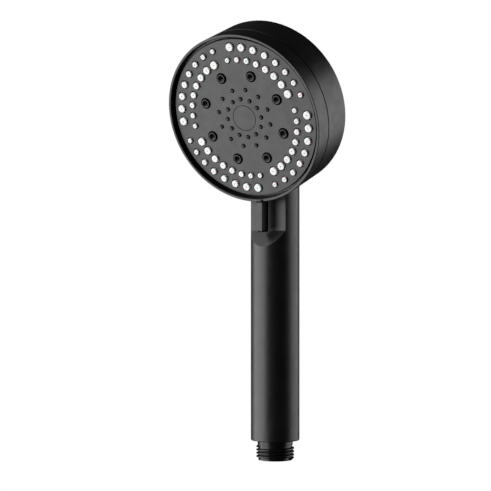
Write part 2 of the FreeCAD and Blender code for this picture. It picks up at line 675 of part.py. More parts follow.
def valve_body():
    """Fixed plate with the tube's socket, the port pocket, the pivot post and the end stop."""
    port_at = clock(PORT_RADIUS, 180)
    plate = post(VALVE_RADIUS, VALVE_FRONT, VALVE_BACK)
    hub = post(POST_RADIUS, POST_TIP_DEPTH, VALVE_FRONT + 1)
    boss_radius = SEAL_RADIUS + SEAL_SIDE_CLEARANCE + PORT_BOSS_WALL
    boss = post(boss_radius, VALVE_FRONT, PORT_BOSS_DEPTH, port_at)
    socket = socket_solid(SOCKET_OUTER_RADIUS, SOCKET_BOTTOM_Z, SOCKET_TOP_Z)
    duct = elbow(ELBOW_RADIUS + ELBOW_WALL, ELBOW_DEPTH)
    sleeve_at = clock(DETENT_RADIUS, 0)
    sleeve_bore = DETENT_COLLAR_RADIUS + DETENT_CLEARANCE
    sleeve_end = DETENT_SLEEVE_DEPTH - DETENT_SLEEVE_FLOOR
    sleeve = post(sleeve_bore + DETENT_SLEEVE_WALL, VALVE_FRONT, DETENT_SLEEVE_DEPTH, sleeve_at)
    lug = post(STOP_LUG_RADIUS, VALVE_FRONT - STOP_LUG_HEIGHT, VALVE_FRONT + 1, clock(STOP_RADIUS, 0))
    tail = post(HUB_RECESS_RADIUS, VALVE_FRONT, VALVE_BACK + HUB_TAIL_LENGTH)
    body = join([plate, hub, boss, duct, socket, sleeve, lug, tail])
    tools = [
        post(SEAL_RADIUS + SEAL_SIDE_CLEARANCE, VALVE_FRONT - 1, POCKET_DEPTH, port_at),
        post(ELBOW_RADIUS, POCKET_DEPTH - 1, PORT_BOSS_DEPTH - PORT_BOSS_FLOOR, port_at),
        elbow(ELBOW_RADIUS, ELBOW_DEPTH),
        to_head_frame(upright(TUBE_RADIUS + TUBE_FIT, SOCKET_BOTTOM_Z - 5, SOCKET_STOP_Z)),
        to_head_frame(upright(TUBE_BORE_RADIUS, SOCKET_STOP_Z - 1, PASSAGE_TOP_Z)),
        to_head_frame(seal_groove(SOCKET_STOP_Z - TUBE_SEAL_OFFSET)),
        post(DETENT_PIN_RADIUS + DETENT_CLEARANCE, VALVE_FRONT - 1, VALVE_BACK, sleeve_at),
        post(sleeve_bore, detent_collar_front(), sleeve_end, sleeve_at),
        post(PIVOT_SCREW_RADIUS, POST_TIP_DEPTH - 1, POST_TIP_DEPTH + PIVOT_SCREW_BITE),
    ]
    for angle in VALVE_SCREW_CLOCKS:
        at = clock(VALVE_SCREW_RADIUS, angle)
        tools.append(post(SCREW_RADIUS + SCREW_HOLE_CLEARANCE, VALVE_FRONT - 1, VALVE_BACK + 1, at))
        head = HEAD_CAP_RADIUS + SCREW_HOLE_CLEARANCE
        tools.append(post(head, VALVE_FRONT - 1, VALVE_FRONT + HEAD_CAP_HEIGHT, at))
    return drill(body, tools)


def valve_body_screws():
    """Four screws that hold the valve body on the shell's bosses."""
    length = VALVE_THICKNESS - HEAD_CAP_HEIGHT + SCREW_BITE - SCREW_END_GAP
    screws = []
    for angle in VALVE_SCREW_CLOCKS:
        at = clock(VALVE_SCREW_RADIUS, angle)
        screws.append(screw(SCREW_RADIUS, HEAD_CAP_RADIUS, HEAD_CAP_HEIGHT, length, at, VALVE_FRONT))
    return Part.makeCompound(screws)


def port_seal():
    """Rubber cup that the water presses on the diverter disc."""
    at = clock(PORT_RADIUS, 180)
    front = DISC_BACK + SEAL_FACE_GAP
    cup = post(SEAL_RADIUS, front, front + SEAL_LENGTH, at)
    bore = post(SEAL_BORE_RADIUS, front - 1, front + SEAL_LENGTH + 1, at)
    seat_front = front + SEAL_LENGTH - SEAL_SEAT_DEPTH
    seat = post(SEAL_RADIUS - SEAL_SEAT_WALL, seat_front, front + SEAL_LENGTH + 1, at)
    return drill(cup, [bore, seat])


def port_spring():
    """Spring behind the port seal."""
    front = DISC_BACK + SEAL_FACE_GAP + SEAL_LENGTH - SEAL_SEAT_DEPTH
    radius = SEAL_RADIUS - SEAL_SEAT_WALL - SPRING_SIDE_GAP - SEAL_WIRE_RADIUS
    return coil(radius, SEAL_WIRE_RADIUS, front, POCKET_DEPTH, SEAL_COILS, clock(PORT_RADIUS, 180))


def detent_nose_depth():
    """Depth of the tip of the detent pin, just short of its groove's floor."""
    return DISC_BACK - DETENT_GROOVE_DEPTH + DETENT_NOSE_GAP


def detent_collar_front():
    """Depth of the shoulder that stops the detent pin."""
    return detent_nose_depth() + DETENT_PIN_LENGTH - DETENT_COLLAR_LENGTH


def detent_pin():
    """Round-nosed pin with a collar at its back."""
    at = clock(DETENT_RADIUS, 0)
    tip = detent_nose_depth()
    nose = Part.makeSphere(DETENT_NOSE_RADIUS, Vector(at[0], at[1], -tip - DETENT_NOSE_RADIUS))
    neck = post(DETENT_NOSE_RADIUS, tip + DETENT_NOSE_RADIUS, tip + DETENT_NECK_LENGTH, at)
    stem = post(DETENT_PIN_RADIUS, tip + DETENT_NECK_LENGTH, tip + DETENT_PIN_LENGTH, at)
    collar = post(DETENT_COLLAR_RADIUS, detent_collar_front(), tip + DETENT_PIN_LENGTH, at)
    return join([nose, neck, stem, collar])


def detent_spring():
    """Spring behind the detent pin."""
    front = detent_nose_depth() + DETENT_PIN_LENGTH
    at = clock(DETENT_RADIUS, 0)
    back = DETENT_SLEEVE_DEPTH - DETENT_SLEEVE_FLOOR
    return coil(DETENT_COIL_RADIUS, DETENT_WIRE_RADIUS, front, back, DETENT_COILS, at)


def thrust_washer():
    """Slip washer between the diverter disc and the valve body."""
    return ring(THRUST_WASHER_RADIUS, HUB_BORE_RADIUS, DISC_BACK, VALVE_FRONT)


def pivot_washer():
    """Washer on the post's end that keeps the turning stack on."""
    front = POST_TIP_DEPTH - PIVOT_WASHER_THICKNESS
    return ring(PIVOT_WASHER_RADIUS, PIVOT_SCREW_RADIUS + SCREW_HOLE_CLEARANCE, front, POST_TIP_DEPTH)


def pivot_screw():
    """Centre screw in the post."""
    length = PIVOT_WASHER_THICKNESS + PIVOT_SCREW_BITE - SCREW_END_GAP
    centre = (0.0, 0.0)
    return screw(PIVOT_SCREW_RADIUS, PIVOT_HEAD_RADIUS, PIVOT_HEAD_HEIGHT, length, centre, PIVOT_HEAD_DEPTH)


# ---------------------------------------------------------------- turning stack
def bezel_lever():
    """The thumb lever: an upright fin under the ring, drawn in the part's frame."""
    depth = LEVER_BACK_Y - LEVER_FRONT_Y
    top = HEAD_FOOT_Z + LEVER_ROOT
    corner = Vector(-LEVER_WIDTH / 2, LEVER_FRONT_Y, LEVER_BOTTOM_Z)
    fin = Part.makeBox(LEVER_WIDTH, depth, top - LEVER_BOTTOM_Z, corner)
    low = [e for e in fin.Edges if e.BoundBox.ZMax < LEVER_BOTTOM_Z + 0.01]
    return to_head_frame(fin.makeFillet(LEVER_EDGE_RADIUS, low))


def bezel_ring():
    """Outer band that turns the face, with an inner flange and a spigot in the rear shell."""
    back = SEAM_DEPTH - SEAM_GAP
    band = post(HEAD_RADIUS, -RIM_PROUD, back)
    rim = [e for e in band.Edges if abs(e.BoundBox.ZMin - RIM_PROUD) < 0.01]
    band = band.makeFillet(RIM_EDGE_RADIUS, rim)
    spigot = post(SPIGOT_RADIUS, back - 1, BEZEL_SPIGOT_DEPTH)
    lever = bezel_lever().cut(post(HEAD_RADIUS - 1, -RIM_PROUD - 1, HEAD_DEPTH))
    body = join([band, spigot, lever])
    tools = [
        post(RIM_INNER_RADIUS, -RIM_PROUD - 1, BEZEL_FLANGE_FRONT),
        post(BEZEL_FLANGE_INNER_RADIUS, 0, GASKET_BACK + 1),
        post(SPIGOT_INNER_RADIUS, GASKET_BACK, BEZEL_SPIGOT_DEPTH + 1),
    ]
    return drill(body, tools)


def face_plate():
    """Flat disc with clearance holes for every nozzle and a ledge for the centre cap."""
    plate = post(PLATE_RADIUS, 0, PLATE_THICKNESS)
    cap_hole = post(CAP_RADIUS + CAP_GAP, -1, CAP_THICKNESS)
    tools = [cap_hole, post(CAP_LEDGE_RADIUS, -1, PLATE_THICKNESS + 1)]
    for at, radius in rain_tips():
        tools.append(post(radius + TIP_DRAFT + TIP_GAP, -1, PLATE_THICKNESS + 1, at))
    for at in jet_places():
        tools.append(post(JET_HOLE_RADIUS, -1, PLATE_THICKNESS + 1, at))
    for at in mist_places():
        tools.append(post(MIST_HOLE_RADIUS, -1, PLATE_THICKNESS + 1, at))
    return drill(plate, tools)


def nozzle_mat():
    """Rubber mat with a hollow tip for every rain nozzle."""
    solids = [ring(MAT_OUTER_RADIUS, MIST_WALL_OUTER_RADIUS, PLATE_THICKNESS, MAT_BACK)]
    tools = []
    for at, radius in rain_tips():
        solids.append(taper(radius, radius + TIP_DRAFT, -TIP_PROUD, PLATE_THICKNESS + BODY_OVERLAP, at))
        inside = radius * TIP_BORE_SHARE
        tools.append(taper(TIP_OUTLET_RADIUS, inside, TIP_OUTLET_LENGTH - TIP_PROUD, MAT_BACK + BODY_OVERLAP, at))
        tools.append(post(TIP_OUTLET_RADIUS, -TIP_PROUD - 1, TIP_OUTLET_LENGTH - TIP_PROUD + BODY_OVERLAP, at))
    for at in stack_screw_places():
        tools.append(post(STACK_BOSS_RADIUS + TIP_GAP, PLATE_THICKNESS - 1, MAT_BACK + 1, at))
    return drill(solids[0].multiFuse(solids[1:]), tools)


def jet_insert():
    """Rubber insert with a nub for every small jet."""
    sheet = ring(CENTRE_WALL_RADIUS, JET_INSERT_INNER_RADIUS, PLATE_THICKNESS, MAT_BACK)
    solids = []
    tools = []
    for at in jet_places():
        solids.append(post(JET_NUB_RADIUS, -JET_PROUD, PLATE_THICKNESS + BODY_OVERLAP, at))
        tools.append(post(JET_OUTLET_RADIUS, -JET_PROUD - 1, MAT_BACK + 1, at))
    return drill(sheet.multiFuse(solids), tools)


def mist_nozzles():
    """Eight round nozzles, each with a funnel mouth, a pin hole and a flange behind the plate."""
    nozzles = []
    for at in mist_places():
        body = post(MIST_NUB_RADIUS, -MIST_PROUD, PLATE_THICKNESS + BODY_OVERLAP, at)
        body = body.fuse(post(MIST_FLANGE_RADIUS, PLATE_THICKNESS, MAT_BACK, at))
        funnel_end = MIST_FUNNEL_DEPTH - MIST_PROUD
        tools = [
            taper(MIST_FUNNEL_RADIUS, MIST_OUTLET_RADIUS, -MIST_PROUD, funnel_end, at),
            post(MIST_OUTLET_RADIUS, funnel_end - BODY_OVERLAP, MAT_BACK + 1, at),
        ]
        nozzles.append(drill(body, tools))
    return Part.makeCompound(nozzles)


def swirler_back():
    """Depth of the back of the mist swirlers."""
    return MAT_BACK + SWIRLER_THICKNESS


def mist_swirlers():
    """Eight slotted discs behind the mist nozzles."""
    discs = []
    radius = MIST_FLANGE_RADIUS
    slot_back = MAT_BACK + SWIRLER_SLOT_SHARE * SWIRLER_THICKNESS
    slot_depth = slot_back - MAT_BACK
    for at in mist_places():
        disc = post(radius, MAT_BACK, swirler_back(), at)
        tools = [post(SWIRLER_CHAMBER_RADIUS, MAT_BACK - 1, slot_back, at)]
        for side in (-1, 1):
            left = at[0] + side * SWIRLER_SLOT_OFFSET - SWIRLER_SLOT_WIDTH / 2
            bottom = at[1] if side > 0 else at[1] - radius
            low = Vector(left, bottom, -slot_back)
            tools.append(Part.makeBox(SWIRLER_SLOT_WIDTH, radius, slot_depth + 1, low))
            notch_at = (at[0] + side * (radius - SWIRLER_NOTCH_INSET), at[1])
            tools.append(post(SWIRLER_NOTCH_RADIUS, MAT_BACK - 1, swirler_back() + 1, notch_at))
        discs.append(drill(disc, tools))
    return Part.makeCompound(discs)


def swirler_seat(at):
    """Short posts of the chamber plate that hold one swirler against its nozzle."""
    outer = MIST_FLANGE_RADIUS - SWIRLER_SEAT_INSET
    inner = outer - SWIRLER_SEAT_WALL
    return ring(outer, inner, swirler_back(), CHAMBER_DEPTH + BODY_OVERLAP, at)


def chamber_plate():
    """Walls behind the face that divide the water between the nozzle groups."""
    base = post(CHAMBER_SKIRT_RADIUS, CHAMBER_DEPTH, CHAMBER_BACK)
    skirt = ring(CHAMBER_SKIRT_RADIUS, CHAMBER_SKIRT_RADIUS - CHAMBER_WALL, MAT_BACK, CHAMBER_BACK)
    flange = ring(CHAMBER_RADIUS, CHAMBER_SKIRT_RADIUS - 1, MAT_BACK, BEZEL_FLANGE_FRONT)
    centre = ring(CENTRE_WALL_OUTER_RADIUS, CENTRE_WALL_RADIUS, MAT_BACK, CHAMBER_BACK)
    mist = ring(MIST_WALL_OUTER_RADIUS, MIST_WALL_RADIUS, MAT_BACK, CHAMBER_BACK)
    hub = ring(HUB_OUTER_RADIUS, HUB_RECESS_RADIUS, MAT_BACK, CHAMBER_BACK)
    shoulder = ring(HUB_OUTER_RADIUS, HUB_BORE_RADIUS, HUB_SHOULDER_DEPTH, CHAMBER_BACK)
    solids = [base, skirt, flange, centre, mist, hub, shoulder]
    tools = [post(HUB_BORE_RADIUS, -1, CHAMBER_BACK + 1)]
    for at in stack_screw_places():
        solids.append(post(STACK_BOSS_RADIUS, PLATE_THICKNESS, CHAMBER_BACK, at))
        tools.append(post(SMALL_SCREW_RADIUS, PLATE_THICKNESS + 1, CHAMBER_BACK + 1, at))
    for at in mist_places():
        solids.append(swirler_seat(at))
    for at in chamber_ports():
        tools.append(post(CHAMBER_PORT_RADIUS, CHAMBER_DEPTH - 1, CHAMBER_BACK + 1, at))
    return drill(join(solids), tools)


def chamber_targets():
    """For each mode, the radii of the chambers that its port feeds."""
    rain = 0.5 * (MIST_WALL_RADIUS + CHAMBER_SKIRT_RADIUS)
    mist = PORT_RADIUS
    centre = 0.5 * (HUB_OUTER_RADIUS + CENTRE_WALL_RADIUS)
    return [(centre, mist), (centre,), (rain,), (mist,), (rain, mist)]


def chamber_ports():
    """Places of the holes from the disc's channels into the chambers."""
    places = []
    for angle, radii in zip(mode_clocks(), chamber_targets()):
        places += [clock(radius, angle) for radius in radii]
    return places


def channel_gasket():
    """Thin rubber sheet between the chamber plate and the diverter disc."""
    sheet = post(CHAMBER_SKIRT_RADIUS, CHAMBER_BACK, GASKET_BACK)
    tools = [post(HUB_BORE_RADIUS, CHAMBER_BACK - 1, GASKET_BACK + 1)]
    for at in chamber_ports():
        tools.append(post(CHAMBER_PORT_RADIUS, CHAMBER_BACK - 1, GASKET_BACK + 1, at))
    for at in stack_screw_places():
        hole = SMALL_SCREW_RADIUS + SCREW_HOLE_CLEARANCE
        tools.append(post(hole, CHAMBER_BACK - 1, GASKET_BACK + 1, at))
    return drill(sheet, tools)


def channel(angle, radii):
    """Groove in the disc's front from a port to the chambers that it feeds."""
    reach = [PORT_RADIUS] + list(radii)
    low = min(reach)
    high = max(reach)
    back = GASKET_BACK + CHANNEL_DEPTH
    pieces = [post(CHAMBER_PORT_RADIUS, GASKET_BACK - 1, back, (0, radius)) for radius in reach]
    if high > low:
        pieces.append(block(2 * CHAMBER_PORT_RADIUS, low, high, GASKET_BACK - 1, back))
    groove = join(pieces)
    groove.rotate(Vector(0, 0, 0), HEAD_AXIS, -angle)
    return groove


def detent_bumps():
    """Low ribs across the detent groove, halfway between neighbouring modes."""
    bumps = []
    inner = DETENT_RADIUS - DETENT_GROOVE_WIDTH / 2 - DETENT_BUMP_ROOT
    outer = DETENT_RADIUS + DETENT_GROOVE_WIDTH / 2 + DETENT_BUMP_ROOT
    floor = DISC_BACK - DETENT_GROOVE_DEPTH
    for k in range(MODE_COUNT - 1):
        angle = MODE_STEP * (k + 0.5) - MODE_RANGE
        rib = block(DETENT_BUMP_WIDTH, inner, outer, floor - DETENT_BUMP_ROOT, floor + DETENT_BUMP_HEIGHT)
        rib.rotate(Vector(0, 0, 0), HEAD_AXIS, -angle)
        bumps.append(rib)
    return bumps


def diverter_disc():
    """Ported disc behind the gasket, with the detent groove and the stop slot in its back."""
    disc = post(DISC_RADIUS, GASKET_BACK, DISC_BACK)
    disc = disc.fuse(post(DISC_RIM_RADIUS, GASKET_BACK, GASKET_BACK + DISC_RIM_THICKNESS))
    half_groove = DETENT_GROOVE_WIDTH / 2
    end = MODE_RANGE + math.degrees((DETENT_NOSE_RADIUS + 1) / DETENT_RADIUS)
    stop_end = MODE_RANGE + math.degrees((STOP_LUG_RADIUS + STOP_CLEARANCE) / STOP_RADIUS)
    stop_half = STOP_LUG_RADIUS + STOP_CLEARANCE
    slot_front = VALVE_FRONT - STOP_LUG_HEIGHT - STOP_CLEARANCE
    slot_radii = (STOP_RADIUS + stop_half, STOP_RADIUS - stop_half)
    groove_radii = (DETENT_RADIUS + half_groove, DETENT_RADIUS - half_groove)
    groove_front = DISC_BACK - DETENT_GROOVE_DEPTH
    tools = [
        post(HUB_BORE_RADIUS, GASKET_BACK - 1, DISC_BACK + 1),
        arc_band(*groove_radii, groove_front, DISC_BACK + 1, -end, end),
        arc_band(*slot_radii, slot_front, DISC_BACK + 1, -stop_end, stop_end),
    ]
    for angle, radii in zip(mode_clocks(), chamber_targets()):
        tools.append(post(SEAL_BORE_RADIUS, GASKET_BACK - 1, DISC_BACK + 1, clock(PORT_RADIUS, angle)))
        tools.append(channel(angle, radii))
    for at in stack_screw_places():
        hole = SMALL_SCREW_RADIUS + SCREW_HOLE_CLEARANCE
        tools.append(post(hole, GASKET_BACK - 1, DISC_BACK + 1, at))
        head = SMALL_HEAD_RADIUS + SCREW_HOLE_CLEARANCE
        tools.append(post(head, DISC_BACK - SMALL_HEAD_HEIGHT, DISC_BACK + 1, at))
    body = drill(disc, tools)
    return join([body] + detent_bumps())


def stack_screws():
    """Four screws from the back that clamp the disc, the gasket and the chamber plate."""
    length = DISC_BACK - SMALL_HEAD_HEIGHT - PLATE_THICKNESS - 1 - SCREW_END_GAP
    screws = []
    for at in stack_screw_places():
        sizes = (SMALL_SCREW_RADIUS, SMALL_HEAD_RADIUS, SMALL_HEAD_HEIGHT, length)
        screws.append(screw_from_back(*sizes, at, DISC_BACK))
    return Part.makeCompound(screws)


def centre_cap():
    """Round cap over the pivot screw, with a skirt that clips into the face plate."""
    disc = post(CAP_RADIUS, 0, CAP_THICKNESS)
    skirt_end = PIVOT_HEAD_DEPTH - CAP_SCREW_GAP
    skirt = ring(CAP_SKIRT_RADIUS, CAP_SKIRT_RADIUS - CAP_SKIRT_WALL, CAP_THICKNESS - BODY_OVERLAP, skirt_end)
    return disc.fuse(skirt)


def massage_turbine():
    """Rotor that opens and shuts the small jets as the water spins it."""
    back = TURBINE_FRONT + TURBINE_DISC
    disc = ring(TURBINE_OUTER_RADIUS, TURBINE_INNER_RADIUS, TURBINE_FRONT, back)
    collar_radius = TURBINE_INNER_RADIUS + TURBINE_COLLAR
    window_radii = (TURBINE_OUTER_RADIUS - TURBINE_RIM, collar_radius)
    window = arc_band(*window_radii, TURBINE_FRONT - 1, back + 1, TURBINE_WINDOW_START, TURBINE_WINDOW_END)
    collar = ring(collar_radius, TURBINE_INNER_RADIUS, TURBINE_FRONT, TURBINE_BACK)
    solids = [disc.cut(window), collar]
    for k in range(TURBINE_BLADES):
        reach = (collar_radius - TURBINE_COLLAR / 2, TURBINE_OUTER_RADIUS - TURBINE_RIM / 2)
        blade = block(TURBINE_BLADE_THICKNESS, *reach, back - TURBINE_DISC / 2, TURBINE_BACK)
        blade.rotate(Vector(0, 0, 0), HEAD_AXIS, 360 / TURBINE_BLADES * k)
        solids.append(blade)
    return join(solids)


# ---------------------------------------------------------------- every node
HANDLE_PIECES = {
    "inlet_connector": inlet_connector,
    "inlet_seal": inlet_seal,
    "filter_screen": filter_screen,
    "flow_regulator": flow_regulator,
    "water_tube": water_tube,
    "tube_seals": tube_seals,
}

HEAD_PIECES = {
    "body_shell": body_shell,
    "valve_body": valve_body,
    "valve_body_screws": valve_body_screws,
    "port_seal": port_seal,
    "port_spring": port_spring,
    "detent_pin": detent_pin,
    "detent_spring": detent_spring,
    "thrust_washer": thrust_washer,
    "pivot_washer": pivot_washer,
    "pivot_screw": pivot_screw,
    "bezel_ring": bezel_ring,
    "face_plate": face_plate,
    "nozzle_mat": nozzle_mat,
    "jet_insert": jet_insert,
    "mist_nozzles": mist_nozzles,
    "mist_swirlers": mist_swirlers,
    "chamber_plate": chamber_plate,
    "channel_gasket": channel_gasket,
    "diverter_disc": diverter_disc,
    "stack_screws": stack_screws,
    "centre_cap": centre_cap,
    "massage_turbine": massage_turbine,
}


def write(node, shape):
    """Write one node's solids to its STEP file."""
    solids = shape.Solids
    print(f"{node:20s} solids {len(solids):3d}  volume {shape.Volume:10.1f}  valid {shape.isValid()}")
    out = solids[0] if len(solids) == 1 else Part.makeCompound(solids)
    out.exportStep(os.path.join("parts", node + ".step"))


def main():
    """Draw every node and write it."""
    os.makedirs("parts", exist_ok=True)
    for node, draw in HANDLE_PIECES.items():
        write(node, draw())
    for node, draw in HEAD_PIECES.items():
        write(node, moved(draw()))


main()
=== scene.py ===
"""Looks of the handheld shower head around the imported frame: finishes, soft edges, studio and camera."""

import logging
import math
from dataclasses import dataclass, field
from enum import Enum
from typing import Iterable

import bmesh
import bpy
import numpy as np
from mathutils import Matrix, Vector


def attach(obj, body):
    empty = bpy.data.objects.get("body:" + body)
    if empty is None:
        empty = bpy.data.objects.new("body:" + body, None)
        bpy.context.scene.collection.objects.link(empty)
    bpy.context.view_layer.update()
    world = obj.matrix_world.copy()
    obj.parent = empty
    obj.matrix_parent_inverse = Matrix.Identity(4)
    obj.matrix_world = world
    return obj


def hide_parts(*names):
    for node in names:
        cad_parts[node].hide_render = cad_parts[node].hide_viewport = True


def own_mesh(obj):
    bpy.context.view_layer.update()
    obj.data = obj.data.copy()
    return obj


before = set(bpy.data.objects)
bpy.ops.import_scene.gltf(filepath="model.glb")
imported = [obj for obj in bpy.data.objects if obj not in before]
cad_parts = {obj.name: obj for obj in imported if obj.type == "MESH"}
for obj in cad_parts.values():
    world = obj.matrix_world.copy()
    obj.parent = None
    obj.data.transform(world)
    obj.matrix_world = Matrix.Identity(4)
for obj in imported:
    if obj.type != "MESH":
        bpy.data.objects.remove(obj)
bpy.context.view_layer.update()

logging.basicConfig(level=logging.INFO, format="%(name)s: %(message)s")
LOG = logging.getLogger("shower_head")

MM = 0.001
Colour = tuple[float, float, float]
Point = tuple[float, float]


# ---------------------------------------------------------------- names
class Slot(Enum):
    """Material slots of the record that the pieces take their finish from."""

    HOUSING = "black_housing"
    FACE = "black_face"
    RUBBER = "black_rubber"
    SILICONE = "white_silicone"
    INLET = "black_inlet"
    STEEL = "steel"
    BRASS = "brass"
    BLUE = "blue_plastic"
    GREY = "grey_plastic"
    WHITE = "white_plastic"


class Body(Enum):
    """Rigid bodies of the part."""

    HANDLE = "handle"
    FACE = "face"
    TURBINE = "turbine"
    SEAL_CUP = "port_seal_cup"
    DETENT = "detent"


# ---------------------------------------------------------------- the head's own axes
@dataclass(frozen=True)
class HeadAxes:
    """The head's frame: x right and y up as seen from its front, z out of the face plate."""

    centre: Vector = Vector((0.0, -31.4003 * MM, 187.2999 * MM))
    tilt_deg: float = 21.0

    def matrix(self) -> Matrix:
        """Returns the 4x4 placement of the head's frame in the part's frame."""
        turn = Matrix.Rotation(math.radians(90.0 + self.tilt_deg), 4, "X")
        return Matrix.Translation(self.centre) @ turn

    def place(self, points: np.ndarray) -> np.ndarray:
        """Moves points from the head's frame to the part's frame.

        Args:
            points: array (n, 3) in metres, in the head's frame.
        Returns:
            Array (n, 3) in the part's frame: rotation times point plus centre.
        """
        m = np.array(self.matrix(), float)
        return points @ m[:3, :3].T + m[:3, 3]


HEAD = HeadAxes()


def clock(radius: float, degrees: float) -> Point:
    """Point on a circle: x = r sin(a), y = r cos(a), clockwise from the top.

    Args:
        radius: radius of the circle.
        degrees: clock angle, clockwise from the top as seen from the front.
    Returns:
        The x and y of the point.
    """
    turn = math.radians(degrees)
    return radius * math.sin(turn), radius * math.cos(turn)


# ---------------------------------------------------------------- material graph helper
@dataclass(frozen=True)
class NoisePattern:
    """Fractal noise: cells per metre, octaves, share kept by each octave and slice of the 4D noise."""

    scale: float
    detail: float
    roughness: float
    seed: float


DRIFT = NoisePattern(38.0, 3.0, 0.55, 1.7)
FINGERMARKS = NoisePattern(160.0, 4.0, 0.6, 5.1)
RIPPLES = NoisePattern(90.0, 1.0, 0.4, 2.3)
DRIFT_RANGE = (0.35, 0.65)
FINGERMARK_RANGE = (0.32, 0.68)
BEVEL_SAMPLES = 8
EDGE_LEAN = (0.98, 0.8)
EDGE_REACH = 1.6
EDGE_POLISH = -0.12


@dataclass
class Graph:
    """A thin layer over one material's node tree, to write node graphs as plain expressions."""

    material: bpy.types.Material

    @property
    def tree(self) -> bpy.types.NodeTree:
        """Node tree of the material."""
        return self.material.node_tree

    def node(self, kind: str, **settings: object) -> bpy.types.Node:
        """Adds a node.

        Args:
            kind: Blender's name of the node type.
            settings: node properties to set.
        Returns:
            The new node.
        """
        made = self.tree.nodes.new(kind)
        for key, value in settings.items():
            setattr(made, key, value)
        return made

    def link(self, source: bpy.types.NodeSocket, target: bpy.types.NodeSocket) -> None:
        """Joins two sockets."""
        self.tree.links.new(source, target)

    def feed(self, target: bpy.types.NodeSocket, value: object) -> None:
        """Sets a socket from another socket or from a constant."""
        if isinstance(value, bpy.types.NodeSocket):
            self.link(value, target)
        else:
            target.default_value = value

    def position(self) -> bpy.types.NodeSocket:
        """Object coordinates of the shaded point."""
        return self.node("ShaderNodeTexCoord").outputs["Object"]

    def noise(self, vector: bpy.types.NodeSocket, pattern: NoisePattern) -> bpy.types.NodeSocket:
        """Fractal noise between about 0.3 and 0.7.

        Args:
            vector: coordinates to read.
            pattern: settings of the noise.
        Returns:
            The noise value's socket.
        """
        made = self.node("ShaderNodeTexNoise", noise_dimensions="4D")
        self.link(vector, made.inputs["Vector"])
        made.inputs["Scale"].default_value = pattern.scale
        made.inputs["Detail"].default_value = pattern.detail
        made.inputs["Roughness"].default_value = pattern.roughness
        made.inputs["W"].default_value = pattern.seed
        return made.outputs["Fac"]

    def speckle(self, vector: bpy.types.NodeSocket, scale: float) -> bpy.types.NodeSocket:
        """Distance to the nearest of many scattered points, for fine moulded grain.

        Args:
            vector: coordinates to read.
            scale: cells per metre.
        Returns:
            The distance's socket.
        """
        made = self.node("ShaderNodeTexVoronoi")
        self.link(vector, made.inputs["Vector"])
        made.inputs["Scale"].default_value = scale
        return made.outputs["Distance"]

    def math(self, operation: str, first: object, second: object, clamp: bool = False) -> bpy.types.NodeSocket:
        """One arithmetic step on two values.

        Args:
            operation: Blender's name of the operation.
            first: first value or socket.
            second: second value or socket.
            clamp: whether the result is kept between 0 and 1.
        Returns:
            The result's socket.
        """
        made = self.node("ShaderNodeMath", operation=operation, use_clamp=clamp)
        self.feed(made.inputs[0], first)
        self.feed(made.inputs[1], second)
        return made.outputs[0]

    def ramp(
        self, value: bpy.types.NodeSocket, low: float, high: float, to_low: float, to_high: float
    ) -> bpy.types.NodeSocket:
        """Maps a value from one range to another and clamps it there.

        Args:
            value: value to map.
            low: value that gives to_low.
            high: value that gives to_high.
            to_low: result at low.
            to_high: result at high.
        Returns:
            The result's socket.
        """
        made = self.node("ShaderNodeMapRange")
        self.link(value, made.inputs["Value"])
        numbers = (("From Min", low), ("From Max", high), ("To Min", to_low), ("To Max", to_high))
        for name, number in numbers:
            made.inputs[name].default_value = number
        return made.outputs["Result"]

    def mix_colour(self, factor: bpy.types.NodeSocket, first: Colour, second: Colour) -> bpy.types.NodeSocket:
        """Blend of two colours.

        Args:
            factor: 0 gives the first colour and 1 the second.
            first: colour at 0.
            second: colour at 1.
        Returns:
            The colour's socket.
        """
        made = self.node("ShaderNodeMix", data_type="RGBA")
        self.link(factor, made.inputs["Factor"])
        made.inputs["A"].default_value = (*first, 1.0)
        made.inputs["B"].default_value = (*second, 1.0)
        return made.outputs["Result"]

    def bump(
        self, height: bpy.types.NodeSocket, distance: float, normal: bpy.types.NodeSocket
    ) -> bpy.types.NodeSocket:
        """Surface relief from a height.

        Args:
            height: height between 0 and 1.
            distance: height of the relief in metres.
            normal: normal to start from.
        Returns:
            The bumped normal's socket.
        """
        made = self.node("ShaderNodeBump")
        made.inputs["Distance"].default_value = distance
        made.inputs["Strength"].default_value = 1.0
        self.link(height, made.inputs["Height"])
        self.link(normal, made.inputs["Normal"])
        return made.outputs["Normal"]

    def soft_edges(self, radius: float) -> bpy.types.NodeSocket:
        """Normal that rounds every sharp edge by a small radius.

        Args:
            radius: radius of the rounding in metres.
        Returns:
            The normal's socket.
        """
        made = self.node("ShaderNodeBevel", samples=BEVEL_SAMPLES)
        made.inputs["Radius"].default_value = radius
        return made.outputs["Normal"]

    def edge_mask(self, radius: float) -> bpy.types.NodeSocket:
        """1 close to a sharp edge and 0 on smooth parts: how far the rounded normal leans off the true one.

        Args:
            radius: distance from the edge that counts as close, in metres.
        Returns:
            The mask's socket.
        """
        lean = self.node("ShaderNodeVectorMath", operation="DOT_PRODUCT")
        self.link(self.soft_edges(radius), lean.inputs[0])
        self.link(self.node("ShaderNodeNewGeometry").outputs["Normal"], lean.inputs[1])
        return self.ramp(lean.outputs["Value"], *EDGE_LEAN, 0.0, 1.0)


